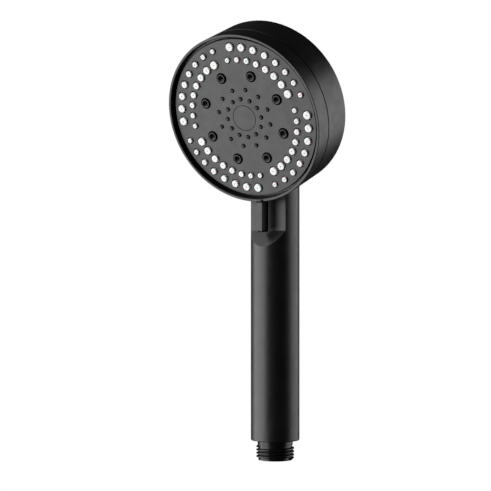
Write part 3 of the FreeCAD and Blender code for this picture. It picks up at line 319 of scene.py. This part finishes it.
# ---------------------------------------------------------------- finishes
@dataclass(frozen=True)
class Finish:
    """A moulded or machined finish with its grain, its handling marks and its worn edges.

    The base colour drifts a little with slow noise, the roughness is broken up by fingermarks, and the
    relief is a fine grain on top of slow mould ripples. Edges are rounded in the shading and slightly
    polished.
    """

    name: str
    colour: Colour
    worn_colour: Colour
    roughness: float
    roughness_spread: float = 0.05
    grain_scale: float = 2600.0
    grain_height: float = 0.000012
    ripple_height: float = 0.000008
    edge_radius: float = 0.00025
    metallic: float = 0.0
    specular: float = 0.5
    ior: float = 1.5
    subsurface: float = 0.0
    subsurface_scale: float = 0.001
    drift_share: float = 0.35
    edge_share: float = 0.5

    def build(self) -> bpy.types.Material:
        """Builds the material.

        Returns:
            A new material with one Principled shader.
        """
        material = bpy.data.materials.new(self.name)
        material.use_nodes = True
        graph = Graph(material)
        shader = material.node_tree.nodes["Principled BSDF"]
        place = graph.position()
        self.colour_part(graph, place, shader)
        self.relief_part(graph, place, shader)
        shader.inputs["Metallic"].default_value = self.metallic
        shader.inputs["IOR"].default_value = self.ior
        shader.inputs["Specular IOR Level"].default_value = self.specular
        shader.inputs["Subsurface Weight"].default_value = self.subsurface
        shader.inputs["Subsurface Scale"].default_value = self.subsurface_scale
        return material

    def colour_part(self, graph: Graph, place: bpy.types.NodeSocket, shader: bpy.types.Node) -> None:
        """Colour and roughness: slow drift, fingermarks and paler, smoother edges.

        Args:
            graph: graph of the material.
            place: object coordinates.
            shader: the Principled shader.
        """
        drift = graph.noise(place, DRIFT)
        marks = graph.noise(place, FINGERMARKS)
        edge = graph.math("MULTIPLY", graph.edge_mask(self.edge_radius * EDGE_REACH), self.edge_share)
        tone = graph.ramp(drift, *DRIFT_RANGE, 0.0, self.drift_share)
        worn = graph.math("MAXIMUM", tone, edge)
        graph.link(graph.mix_colour(worn, self.colour, self.worn_colour), shader.inputs["Base Color"])
        low = self.roughness - self.roughness_spread
        high = self.roughness + self.roughness_spread
        rough = graph.ramp(marks, *FINGERMARK_RANGE, low, high)
        polished = graph.math("MULTIPLY", edge, EDGE_POLISH)
        graph.link(graph.math("ADD", rough, polished, clamp=True), shader.inputs["Roughness"])

    def relief_part(self, graph: Graph, place: bpy.types.NodeSocket, shader: bpy.types.Node) -> None:
        """Relief: mould ripples under a fine grain, on edges that are rounded in the shading.

        Args:
            graph: graph of the material.
            place: object coordinates.
            shader: the Principled shader.
        """
        rounded = graph.soft_edges(self.edge_radius)
        ripple = graph.bump(graph.noise(place, RIPPLES), self.ripple_height, rounded)
        grain = graph.bump(graph.speckle(place, self.grain_scale), self.grain_height, ripple)
        graph.link(grain, shader.inputs["Normal"])


FINISHES: dict[Slot, Finish] = {
    Slot.HOUSING: Finish("satin_black_housing", (0.004, 0.004, 0.0042), (0.007, 0.007, 0.0073), 0.39),
    Slot.FACE: Finish(
        "matte_black_face", (0.008, 0.008, 0.0084), (0.013, 0.013, 0.0134), 0.4,
        grain_scale=1900.0, grain_height=0.00002,
    ),
    Slot.RUBBER: Finish(
        "soft_black_rubber", (0.007, 0.007, 0.0072), (0.012, 0.012, 0.012), 0.44,
        grain_height=0.00001, edge_radius=0.0003,
    ),
    Slot.SILICONE: Finish(
        "white_silicone", (0.83, 0.835, 0.84), (0.86, 0.86, 0.86), 0.5,
        grain_height=0.000006, ripple_height=0.00001,
        subsurface=0.25, subsurface_scale=0.0012, ior=1.41, edge_share=0.15,
    ),
    Slot.INLET: Finish(
        "gloss_black_inlet", (0.006, 0.006, 0.0063), (0.011, 0.011, 0.0115), 0.28,
        grain_height=0.000006, ripple_height=0.000005, edge_radius=0.00015, specular=0.3,
    ),
    Slot.STEEL: Finish(
        "stainless_steel", (0.58, 0.57, 0.55), (0.66, 0.65, 0.63), 0.28, metallic=1.0, grain_height=0.000005,
    ),
    Slot.BRASS: Finish(
        "machined_brass", (0.72, 0.5, 0.22), (0.8, 0.6, 0.3), 0.3, metallic=1.0, grain_height=0.000005,
    ),
    Slot.BLUE: Finish("blue_plastic", (0.03, 0.12, 0.45), (0.06, 0.17, 0.52), 0.38),
    Slot.GREY: Finish("grey_plastic", (0.22, 0.225, 0.23), (0.28, 0.285, 0.29), 0.42),
    Slot.WHITE: Finish("white_plastic", (0.72, 0.72, 0.7), (0.78, 0.78, 0.76), 0.4),
}


class Palette:
    """Makes each finish once and hands it out by slot."""

    def __init__(self) -> None:
        """Starts with no materials made."""
        self.made: dict[Slot, bpy.types.Material] = {}

    def get(self, slot: Slot) -> bpy.types.Material:
        """The material of a slot, made on first use.

        Args:
            slot: material slot of the record.
        Returns:
            Its material.
        """
        if slot not in self.made:
            self.made[slot] = FINISHES[slot].build()
        return self.made[slot]

    def dress(self, piece: bpy.types.Object, slot: Slot) -> None:
        """Gives a piece the finish of a slot.

        Args:
            piece: the piece.
            slot: material slot of the record.
        """
        piece.data.materials.clear()
        piece.data.materials.append(self.get(slot))


# ---------------------------------------------------------------- surfaces
MERGE_DISTANCE = 1e-6
DEGENERATE_LENGTH = 1e-7
SUPPORT_SHARE = 0.2
LIP_STEPS = 5


def grid_quads(rows: int, columns: int, wrap: bool) -> np.ndarray:
    """Corner numbers of a grid's quads: (i, j), (i, j+1), (i+1, j+1), (i+1, j).

    Args:
        rows: rows of points.
        columns: columns of points.
        wrap: whether the last column joins the first.
    Returns:
        Array (quads, 4).
    """
    index = np.arange(rows * columns).reshape(rows, columns)
    ahead = np.roll(index, -1, axis=1) if wrap else index[:, 1:]
    here = index if wrap else index[:, :-1]
    return np.stack([here[:-1], ahead[:-1], ahead[1:], here[1:]], axis=-1).reshape(-1, 4)


def grid_mesh(name: str, grids: list[np.ndarray], wrap: bool = True) -> bpy.types.Mesh:
    """One mesh of several grids of points, with doubles merged and faces turned outwards.

    Args:
        name: name of the mesh.
        grids: arrays (rows, columns, 3).
        wrap: whether the last column joins the first.
    Returns:
        The mesh, smooth shaded.
    """
    points, quads, start = [], [], 0
    for grid in grids:
        rows, columns = grid.shape[:2]
        points.append(grid.reshape(-1, 3))
        quads.append(grid_quads(rows, columns, wrap) + start)
        start += rows * columns
    mesh = bpy.data.meshes.new(name)
    mesh.from_pydata(np.concatenate(points).tolist(), [], np.concatenate(quads).tolist())
    work = bmesh.new()
    work.from_mesh(mesh)
    bmesh.ops.remove_doubles(work, verts=work.verts, dist=MERGE_DISTANCE)
    bmesh.ops.dissolve_degenerate(work, edges=work.edges, dist=DEGENERATE_LENGTH)
    bmesh.ops.recalc_face_normals(work, faces=work.faces)
    work.to_mesh(mesh)
    work.free()
    mesh.shade_smooth()
    return mesh


def new_piece(name: str, mesh: bpy.types.Mesh, body: Body, stands_for: str) -> bpy.types.Object:
    """Adds a finished piece that rides on a body and stands for a CAD node.

    Args:
        name: name of the piece.
        mesh: its mesh, in the part's frame.
        body: body that it moves with.
        stands_for: CAD node that it replaces.
    Returns:
        The piece.
    """
    piece = bpy.data.objects.new(name, mesh)
    bpy.context.scene.collection.objects.link(piece)
    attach(piece, body.value)
    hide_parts(stands_for)
    LOG.info("%s: %s built, %d faces", body.value, name, len(mesh.polygons))
    return piece


def soft_profile(corners: list[tuple[float, float, float]], closed: bool, steps: int = 6) -> np.ndarray:
    """Outline with rounded corners.

    Each corner is replaced by an arc of its radius: the arc's centre is on the corner's bisector, at
    radius / sin(half angle), and the arc turns from one tangent point to the other. A support point
    stands beside each tangent point, so that the flats shade flat.

    Args:
        corners: (r, depth, radius) of each corner, in millimetres.
        closed: whether the last corner joins the first.
        steps: segments in each arc.
    Returns:
        Array (n, 2) of (r, depth) in millimetres.
    """
    spots = [np.array(c[:2], float) for c in corners]
    count = len(spots)
    out = []
    for k, (spot, corner) in enumerate(zip(spots, corners)):
        radius = corner[2]
        if radius <= 0 or (not closed and k in (0, count - 1)):
            out.append(spot[None, :])
            continue
        back = spots[k - 1] - spot
        ahead = spots[(k + 1) % count] - spot
        back_way = back / np.linalg.norm(back)
        ahead_way = ahead / np.linalg.norm(ahead)
        half = 0.5 * math.acos(float(np.clip(back_way @ ahead_way, -1.0, 1.0)))
        reach = radius / math.tan(half)
        bisector = (back_way + ahead_way) / np.linalg.norm(back_way + ahead_way)
        middle = spot + bisector * radius / math.sin(half)
        first = spot + back_way * reach
        last = spot + ahead_way * reach
        share = np.linspace(0.0, 1.0, steps + 1)[:, None]
        swing = math.pi - 2 * half
        weights = np.sin((1 - share) * swing), np.sin(share * swing)
        arc = middle + (weights[0] * (first - middle) + weights[1] * (last - middle)) / math.sin(swing)
        support = SUPPORT_SHARE * radius
        out += [(first + back_way * support)[None, :], arc, (last + ahead_way * support)[None, :]]
    outline = np.concatenate(out)
    return np.concatenate([outline, outline[:1]]) if closed else outline


def revolve(profile: np.ndarray, steps: int, at: Point = (0.0, 0.0)) -> np.ndarray:
    """Grid of a profile turned about an axis out of the face: (x + r sin a, y + r cos a, -depth).

    Args:
        profile: array (n, 2) of (r, depth) in millimetres.
        steps: columns round the axis.
        at: place of the axis on the face in millimetres.
    Returns:
        Array (n, steps, 3) in metres, in the part's frame.
    """
    turn = np.linspace(0.0, 2 * np.pi, steps, endpoint=False)[None, :]
    radius = profile[:, :1]
    x = at[0] + radius * np.sin(turn)
    y = at[1] + radius * np.cos(turn)
    z = np.broadcast_to(-profile[:, 1:], x.shape)
    points = np.stack([x, y, z], axis=-1) * MM
    return HEAD.place(points.reshape(-1, 3)).reshape(points.shape)


def ring_sheet(outer: float, inner: float, front: float, back: float, edge_round: float = 0.0) -> np.ndarray:
    """Closed outline of a flat ring.

    Args:
        outer: outer radius in millimetres.
        inner: inner radius in millimetres.
        front: depth of its front in millimetres.
        back: depth of its back in millimetres.
        edge_round: radius of its four edges in millimetres.
    Returns:
        Array (n, 2) of (r, depth) in millimetres.
    """
    corners = [
        (outer, front, edge_round),
        (outer, back, edge_round),
        (inner, back, edge_round),
        (inner, front, edge_round),
    ]
    return soft_profile(corners, closed=True)


# ---------------------------------------------------------------- sub-assemblies
@dataclass
class SubAssembly:
    """Pieces that move together, with the slot of each CAD node."""

    palette: Palette
    body: Body
    nodes: dict[str, Slot] = field(default_factory=dict)

    def build(self) -> None:
        """Builds the new pieces of the sub-assembly."""

    def dress(self) -> None:
        """Gives every CAD node of the sub-assembly its finish."""
        for name, slot in self.nodes.items():
            self.palette.dress(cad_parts[name], slot)
            LOG.info("%s: %s dressed in %s", self.body.value, name, slot.value)


@dataclass
class Handle(SubAssembly):
    """The fixed body: housing, inlet, water tube and valve."""

    body: Body = Body.HANDLE
    nodes: dict[str, Slot] = field(default_factory=lambda: {
        "body_shell": Slot.HOUSING,
        "inlet_connector": Slot.INLET,
        "inlet_seal": Slot.RUBBER,
        "filter_screen": Slot.STEEL,
        "flow_regulator": Slot.BLUE,
        "water_tube": Slot.WHITE,
        "tube_seals": Slot.RUBBER,
        "valve_body": Slot.GREY,
        "valve_body_screws": Slot.STEEL,
        "port_spring": Slot.STEEL,
        "detent_spring": Slot.STEEL,
        "thrust_washer": Slot.WHITE,
        "pivot_washer": Slot.STEEL,
        "pivot_screw": Slot.STEEL,
    })
    springs: dict[str, str] = field(default_factory=lambda: {
        "port_spring": "port_seal_float",
        "detent_spring": "detent_click",
    })

    def build(self) -> None:
        """Hands each spring to squeeze with the slide named for it; the springs keep their shape."""
        for node, joint in self.springs.items():
            self.squeeze(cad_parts[node], joint)

    def squeeze(self, spring: bpy.types.Object, joint: str) -> None:
        """Reads the spring's points and gives the spring its own copy of its mesh; its shape is left as it is.

        Args:
            spring: the spring's CAD node.
            joint: name of the slide.
        """
        points = np.zeros(len(spring.data.vertices) * 3)
        spring.data.vertices.foreach_get("co", points)
        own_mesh(spring)
        LOG.info("handle: %s squeezes with %s", spring.name, joint)


@dataclass
class Bezel:
    """The turning band with its rim, inner flange, spigot and thumb lever. Sizes in millimetres."""

    outer: float = 47.0
    rim_inner: float = 45.5
    rim_proud: float = 2.4
    rim_round: float = 0.3
    rim_inner_round: float = 0.4
    step_inner: float = 44.15
    step_front: float = 2.4
    band_back: float = 8.35
    band_round: float = 0.45
    flange_inner: float = 41.4
    flange_front: float = 5.6
    spigot_outer: float = 44.2
    spigot_inner: float = 43.0
    spigot_back: float = 10.6
    spigot_round: float = 0.15
    groove_round: float = 0.2
    columns: int = 288
    lever_half_width: float = 1.9
    lever_front: float = -16.2
    lever_back: float = -9.7
    lever_bottom: float = 126.1
    lever_round: float = 1.2
    lever_side_round: float = 0.5
    lever_sink: float = 0.9
    flare: float = 1.5
    foot_rows: int = 9
    climb_rows: int = 40
    climb_power: float = 0.6

    def band(self) -> np.ndarray:
        """Grid of the band: its closed cross-section with rounded lips, turned about the head's axis."""
        corners = [
            (self.outer, -self.rim_proud, self.rim_round),
            (self.outer, self.band_back, self.band_round),
            (self.spigot_outer, self.band_back, 0.0),
            (self.spigot_outer, self.spigot_back, self.spigot_round),
            (self.spigot_inner, self.spigot_back, self.spigot_round),
            (self.spigot_inner, self.band_back, 0.0),
            (self.flange_inner, self.band_back, 0.0),
            (self.flange_inner, self.flange_front, self.groove_round),
            (self.step_inner, self.flange_front, 0.0),
            (self.step_inner, self.step_front, self.groove_round),
            (self.rim_inner, self.step_front, self.groove_round),
            (self.rim_inner, -self.rim_proud, self.rim_inner_round),
        ]
        return revolve(soft_profile(corners, closed=True), self.columns)

    def rim_height(self, y: np.ndarray) -> np.ndarray:
        """Height of the band's lowest line above a place y: z = z0 + (y - y0) tan(tilt).

        Args:
            y: places along the part's y axis in millimetres.
        Returns:
            Heights in millimetres.
        """
        tilt = math.radians(HEAD.tilt_deg)
        foot_y = HEAD.centre.y / MM + self.outer * math.sin(tilt)
        foot_z = HEAD.centre.z / MM - self.outer * math.cos(tilt)
        return foot_z + (y - foot_y) * math.tan(tilt)

    def outline(self) -> tuple[np.ndarray, np.ndarray]:
        """Rounded rectangle of the lever's section about its middle, and the outward way at each point."""
        middle = 0.5 * (self.lever_front + self.lever_back)
        half_y = self.lever_back - middle
        round_ = self.lever_side_round
        corners = [
            (-self.lever_half_width, -half_y, round_),
            (self.lever_half_width, -half_y, round_),
            (self.lever_half_width, half_y, round_),
            (-self.lever_half_width, half_y, round_),
        ]
        line = soft_profile(corners, closed=True, steps=LIP_STEPS)[:-1]
        core = np.array([self.lever_half_width - round_, half_y - round_])
        inner = np.clip(line, -core, core)
        way = line - inner
        way /= np.linalg.norm(way, axis=1, keepdims=True)
        return line, way

    def lever(self) -> np.ndarray:
        """Grid of the lever: its section carried up from a rounded foot and flared into the band.

        The section moves inwards by q - sqrt(q^2 - (q - h)^2) over the first q of height h, and outwards by
        f (1 - sqrt(1 - t^2)) over the last stretch below the band, where t runs from 0 to 1.
        """
        line, way = self.outline()
        middle_y = 0.5 * (self.lever_front + self.lever_back)
        y_top = np.clip(line[:, 1] + middle_y, self.lever_front, self.lever_back)
        top = self.rim_height(y_top) + self.lever_sink
        foot = self.lever_round * (1 - np.cos(np.linspace(0.0, np.pi / 2, self.foot_rows)))
        climb = np.linspace(0.0, 1.0, self.climb_rows)[1:, None] ** self.climb_power
        low = self.lever_bottom + np.broadcast_to(foot[:, None], (len(foot), len(top)))
        rise = top[None, :] - self.lever_bottom - self.lever_round
        high = self.lever_bottom + self.lever_round + climb * rise
        z = np.concatenate([low, high])
        h = np.minimum(z - self.lever_bottom, self.lever_round)
        reach = np.maximum(self.lever_round ** 2 - (self.lever_round - h) ** 2, 0.0)
        inset = self.lever_round - np.sqrt(reach)
        below = top[None, :] - self.lever_sink - z
        t = np.clip(1.0 - below / self.flare, 0.0, 1.0)
        flare = self.flare * (1 - np.sqrt(np.maximum(1 - t ** 2, 0.0)))
        shift = (flare - inset)[:, :, None] * way[None, :, :]
        flat = line[None, :, :] + shift
        points = np.stack([flat[..., 0], flat[..., 1] + middle_y, z], axis=-1)
        foot_pole = np.broadcast_to([0.0, middle_y, self.lever_bottom], points[:1].shape)
        top_pole = np.broadcast_to([0.0, middle_y, float(top.mean())], points[:1].shape)
        return np.concatenate([foot_pole, points, top_pole]) * MM

    def build(self, palette: "Palette") -> None:
        """Builds the bezel and gives it its finish."""
        mesh = grid_mesh("bezel", [self.band(), self.lever()])
        piece = new_piece("bezel", mesh, Body.FACE, "bezel_ring")
        palette.dress(piece, Slot.HOUSING)


@dataclass
class RainNozzles:
    """White rubber mat with a soft-edged tip for each rain nozzle. Sizes in millimetres."""

    proud: float = 1.0
    draft: float = 0.15
    edge_round: float = 0.45
    outlet: float = 0.3
    outlet_depth: float = 0.55
    sheet_front: float = 2.0
    sheet_back: float = 3.4
    sheet_outer: float = 42.6
    sheet_inner: float = 29.9
    outer_ring: float = 39.6
    inner_ring: float = 32.7
    groups: int = 4
    per_group: int = 8
    step: float = 10.5
    large: float = 2.2
    small: float = 1.35
    outlet_round: float = 0.1
    sheet_round: float = 0.2
    sink: float = 0.3
    columns: int = 28
    sheet_columns: int = 144

    def places(self) -> list[tuple[Point, float]]:
        """Place and radius of every tip: the outer ring shrinks clockwise and the inner ring grows."""
        sizes = np.linspace(self.large, self.small, self.per_group)
        found = []
        for group in range(self.groups):
            for k in range(self.per_group):
                angle = 90.0 * group + self.step * k
                found.append((clock(self.outer_ring, angle), float(sizes[k])))
                found.append((clock(self.inner_ring, angle - self.step / 2), float(sizes[-1 - k])))
        return found

    def tip(self, at: Point, radius: float) -> np.ndarray:
        """Grid of one tip: a blind outlet, a flat top with rounded lips and a drafted side."""
        front = -self.proud
        corners = [
            (0.0, front + self.outlet_depth, 0.0),
            (self.outlet, front + self.outlet_depth, 0.0),
            (self.outlet, front, self.outlet_round),
            (radius, front, self.edge_round),
            (radius + self.draft, self.sheet_front + self.sink, 0.0),
            (0.0, self.sheet_front + self.sink, 0.0),
        ]
        return revolve(soft_profile(corners, closed=False, steps=LIP_STEPS), self.columns, at)

    def build(self, palette: "Palette") -> None:
        """Builds the mat and gives it its finish."""
        sheet = ring_sheet(
            self.sheet_outer, self.sheet_inner, self.sheet_front, self.sheet_back, self.sheet_round
        )
        grids = [revolve(sheet, self.sheet_columns)]
        grids += [self.tip(at, radius) for at, radius in self.places()]
        mesh = grid_mesh("rain_nozzles", grids)
        piece = new_piece("rain_nozzles", mesh, Body.FACE, "nozzle_mat")
        palette.dress(piece, Slot.SILICONE)


@dataclass
class JetNozzles:
    """Black rubber insert with a small soft nub for each jet. Sizes in millimetres."""

    proud: float = 0.7
    radius: float = 0.85
    edge_round: float = 0.28
    outlet: float = 0.3
    outlet_depth: float = 1.6
    sheet_front: float = 2.0
    sheet_back: float = 3.4
    sheet_outer: float = 19.0
    sheet_inner: float = 8.6
    outer_ring: float = 16.1
    inner_ring: float = 10.7
    count: int = 12
    outlet_round: float = 0.08
    sink: float = 0.3
    columns: int = 28
    sheet_columns: int = 96

    def places(self) -> list[Point]:
        """Places of the jets: two rings, half a step apart."""
        step = 360.0 / self.count
        outer = [clock(self.outer_ring, step * (k + 0.5)) for k in range(self.count)]
        return outer + [clock(self.inner_ring, step * k) for k in range(self.count)]

    def build(self, palette: "Palette") -> None:
        """Builds the insert and gives it its finish."""
        front = -self.proud
        nub = soft_profile(
            [
                (0.0, front + self.outlet_depth, 0.0),
                (self.outlet, front + self.outlet_depth, 0.0),
                (self.outlet, front, self.outlet_round),
                (self.radius, front, self.edge_round),
                (self.radius, self.sheet_front + self.sink, 0.0),
                (0.0, self.sheet_front + self.sink, 0.0),
            ],
            closed=False,
            steps=LIP_STEPS,
        )
        sheet = ring_sheet(self.sheet_outer, self.sheet_inner, self.sheet_front, self.sheet_back)
        grids = [revolve(sheet, self.sheet_columns)]
        grids += [revolve(nub, self.columns, at) for at in self.places()]
        mesh = grid_mesh("jet_nozzles", grids)
        piece = new_piece("jet_nozzles", mesh, Body.FACE, "jet_insert")
        palette.dress(piece, Slot.RUBBER)


@dataclass
class MistNozzles:
    """Eight round nozzles, each with a raised lip, a funnel and a pin hole. Sizes in millimetres."""

    ring_radius: float = 24.6
    count: int = 8
    radius: float = 2.3
    proud: float = 0.8
    lip_round: float = 0.18
    edge_round: float = 0.22
    funnel: float = 1.85
    funnel_depth: float = 1.5
    outlet: float = 0.4
    outlet_depth: float = 2.6
    outlet_round: float = 0.08
    columns: int = 56
    flange: float = 3.6
    flange_front: float = 2.0
    flange_back: float = 3.4

    def build(self, palette: "Palette") -> None:
        """Builds the nozzles and gives them their finish."""
        front = -self.proud
        profile = soft_profile(
            [
                (0.0, self.outlet_depth, 0.0),
                (self.outlet, self.outlet_depth, 0.0),
                (self.outlet, front + self.funnel_depth, self.outlet_round),
                (self.funnel, front, self.lip_round),
                (self.radius, front, self.edge_round),
                (self.radius, self.flange_front, 0.0),
                (self.flange, self.flange_front, 0.0),
                (self.flange, self.flange_back, 0.0),
                (0.0, self.flange_back, 0.0),
            ],
            closed=False,
            steps=LIP_STEPS,
        )
        step = 360.0 / self.count
        places = [clock(self.ring_radius, step * (k + 0.5)) for k in range(self.count)]
        mesh = grid_mesh("mist_cups", [revolve(profile, self.columns, at) for at in places])
        piece = new_piece("mist_cups", mesh, Body.FACE, "mist_nozzles")
        palette.dress(piece, Slot.RUBBER)


@dataclass
class Face(SubAssembly):
    """The turning face: bezel with its lever, plate, nozzles and water stack."""

    body: Body = Body.FACE
    bezel: Bezel = field(default_factory=Bezel)
    rain: RainNozzles = field(default_factory=RainNozzles)
    jets: JetNozzles = field(default_factory=JetNozzles)
    mist: MistNozzles = field(default_factory=MistNozzles)
    nodes: dict[str, Slot] = field(default_factory=lambda: {
        "face_plate": Slot.FACE,
        "mist_swirlers": Slot.WHITE,
        "chamber_plate": Slot.GREY,
        "channel_gasket": Slot.RUBBER,
        "diverter_disc": Slot.WHITE,
        "stack_screws": Slot.STEEL,
        "centre_cap": Slot.FACE,
    })

    def build(self) -> None:
        """Builds the bezel and the three kinds of nozzle."""
        self.bezel.build(self.palette)
        self.rain.build(self.palette)
        self.jets.build(self.palette)
        self.mist.build(self.palette)


@dataclass
class Turbine(SubAssembly):
    """The water wheel that pulses the jets."""

    body: Body = Body.TURBINE
    nodes: dict[str, Slot] = field(default_factory=lambda: {"massage_turbine": Slot.WHITE})


@dataclass
class SealCup(SubAssembly):
    """The rubber cup pressed on the diverter disc."""

    body: Body = Body.SEAL_CUP
    nodes: dict[str, Slot] = field(default_factory=lambda: {"port_seal": Slot.RUBBER})


@dataclass
class Detent(SubAssembly):
    """The pin that clicks between the spray modes."""

    body: Body = Body.DETENT
    nodes: dict[str, Slot] = field(default_factory=lambda: {"detent_pin": Slot.BRASS})


# ---------------------------------------------------------------- studio
LAMP_WATTS = 4.0


@dataclass(frozen=True)
class SoftBox:
    """A rectangular soft lamp aimed at the middle of the part."""

    name: str
    azimuth: float
    elevation: float
    distance: float
    width: float
    height: float
    radiance: float

    def place(self, target: Vector) -> bpy.types.Object:
        """Adds the lamp; its watts are four times its area times its radiance.

        Args:
            target: point that the lamp looks at.
        Returns:
            The lamp's object.
        """
        lamp = bpy.data.lights.new(self.name, "AREA")
        lamp.shape = "RECTANGLE"
        lamp.size = self.width
        lamp.size_y = self.height
        lamp.energy = LAMP_WATTS * self.width * self.height * self.radiance
        turn = math.radians(self.azimuth)
        rise = math.radians(self.elevation)
        way = Vector((math.sin(turn) * math.cos(rise), -math.cos(turn) * math.cos(rise), math.sin(rise)))
        made = bpy.data.objects.new(self.name, lamp)
        made.location = target + way * self.distance
        made.rotation_euler = (-way).to_track_quat("-Z", "Y").to_euler()
        bpy.context.scene.collection.objects.link(made)
        return made


@dataclass
class Studio:
    """Soft lamps, white surroundings, a pale floor and the camera."""

    centre: Vector = Vector((0.0, -0.02, 0.12))
    boxes: tuple[SoftBox, ...] = (
        SoftBox("soft_box_left", -52.0, 3.0, 1.05, 1.6, 2.4, 2.8),
        SoftBox("soft_box_right", 138.0, 4.0, 1.2, 1.3, 1.1, 1.5),
    )
    surround: float = 0.025
    floor_height: float = -0.12
    floor_radius: float = 0.62
    floor_rings: int = 24
    floor_columns: int = 96
    floor_colour: Colour = (0.86, 0.86, 0.86)
    floor_roughness: float = 0.7
    floor_fade: Point = (0.5, 0.98)
    camera_place: tuple[float, float, float] = (0.4997, -0.8029, 0.1187)
    camera_way: tuple[float, float, float] = (-0.5431, 0.8397, 0.0)
    lens: float = 125.0
    sensor_width: float = 36.0
    clip: Point = (0.01, 50.0)

    def build(self) -> None:
        """Sets up lamps, surroundings, floor, camera and the plain view transform."""
        for box in self.boxes:
            box.place(self.centre)
        self.surroundings()
        self.floor()
        self.camera()
        bpy.context.scene.view_settings.view_transform = "Standard"

    def surroundings(self) -> None:
        """World: white to the camera and through glass, and dim to everything else."""
        world = bpy.data.worlds.new("studio_world")
        world.use_nodes = True
        tree = world.node_tree
        background = tree.nodes["Background"]
        path = tree.nodes.new("ShaderNodeLightPath")
        seen = tree.nodes.new("ShaderNodeMath")
        seen.operation = "MAXIMUM"
        tree.links.new(path.outputs["Is Camera Ray"], seen.inputs[0])
        tree.links.new(path.outputs["Is Transmission Ray"], seen.inputs[1])
        level = tree.nodes.new("ShaderNodeMapRange")
        level.inputs["To Min"].default_value = self.surround
        level.inputs["To Max"].default_value = 1.0
        tree.links.new(seen.outputs[0], level.inputs["Value"])
        background.inputs["Color"].default_value = (1.0, 1.0, 1.0, 1.0)
        tree.links.new(level.outputs["Result"], background.inputs["Strength"])
        bpy.context.scene.world = world

    def floor(self) -> None:
        """A round pale floor below the part that fades out towards its edge. Its faces point down."""
        radius = np.linspace(0.0, self.floor_radius, self.floor_rings + 1)[:, None]
        turn = np.linspace(0.0, 2 * np.pi, self.floor_columns, endpoint=False)[None, :]
        x = radius * np.cos(turn) + self.centre.x
        y = radius * np.sin(turn) + self.centre.y
        points = np.stack([x, y, np.full_like(x, self.floor_height)], axis=-1)
        mesh = grid_mesh("floor", [points])
        floor = bpy.data.objects.new("floor", mesh)
        bpy.context.scene.collection.objects.link(floor)
        floor.data.materials.append(self.floor_material())

    def floor_material(self) -> bpy.types.Material:
        """Pale matte floor, clear at its rim and on the back of its faces, so clear from above.

        Returns:
            The floor's material.
        """
        material = bpy.data.materials.new("pale_floor")
        material.use_nodes = True
        graph = Graph(material)
        shader = material.node_tree.nodes["Principled BSDF"]
        shader.inputs["Base Color"].default_value = (*self.floor_colour, 1.0)
        shader.inputs["Roughness"].default_value = self.floor_roughness
        mapping = graph.node("ShaderNodeMapping")
        mapping.inputs["Location"].default_value = (-self.centre.x, -self.centre.y, -self.floor_height)
        graph.link(graph.position(), mapping.inputs["Vector"])
        length = graph.node("ShaderNodeVectorMath", operation="LENGTH")
        graph.link(mapping.outputs["Vector"], length.inputs[0])
        start, end = (share * self.floor_radius for share in self.floor_fade)
        alpha = graph.ramp(length.outputs["Value"], start, end, 1.0, 0.0)
        front = graph.math("SUBTRACT", 1.0, graph.node("ShaderNodeNewGeometry").outputs["Backfacing"])
        graph.link(graph.math("MULTIPLY", alpha, front), shader.inputs["Alpha"])
        return material

    def camera(self) -> None:
        """Level camera at the height of the part's middle."""
        data = bpy.data.cameras.new("camera")
        data.lens = self.lens
        data.sensor_width = self.sensor_width
        data.clip_start, data.clip_end = self.clip
        camera = bpy.data.objects.new("camera", data)
        camera.location = self.camera_place
        camera.rotation_euler = Vector(self.camera_way).to_track_quat("-Z", "Y").to_euler()
        bpy.context.scene.collection.objects.link(camera)
        bpy.context.scene.camera = camera


def main() -> None:
    """Builds the sub-assemblies in order, then the studio."""
    palette = Palette()
    parts: Iterable[SubAssembly] = (
        Handle(palette),
        Face(palette),
        Turbine(palette),
        SealCup(palette),
        Detent(palette),
    )
    for part in parts:
        part.build()
        part.dress()
    Studio().build()


if __name__ == "__main__":
    main()
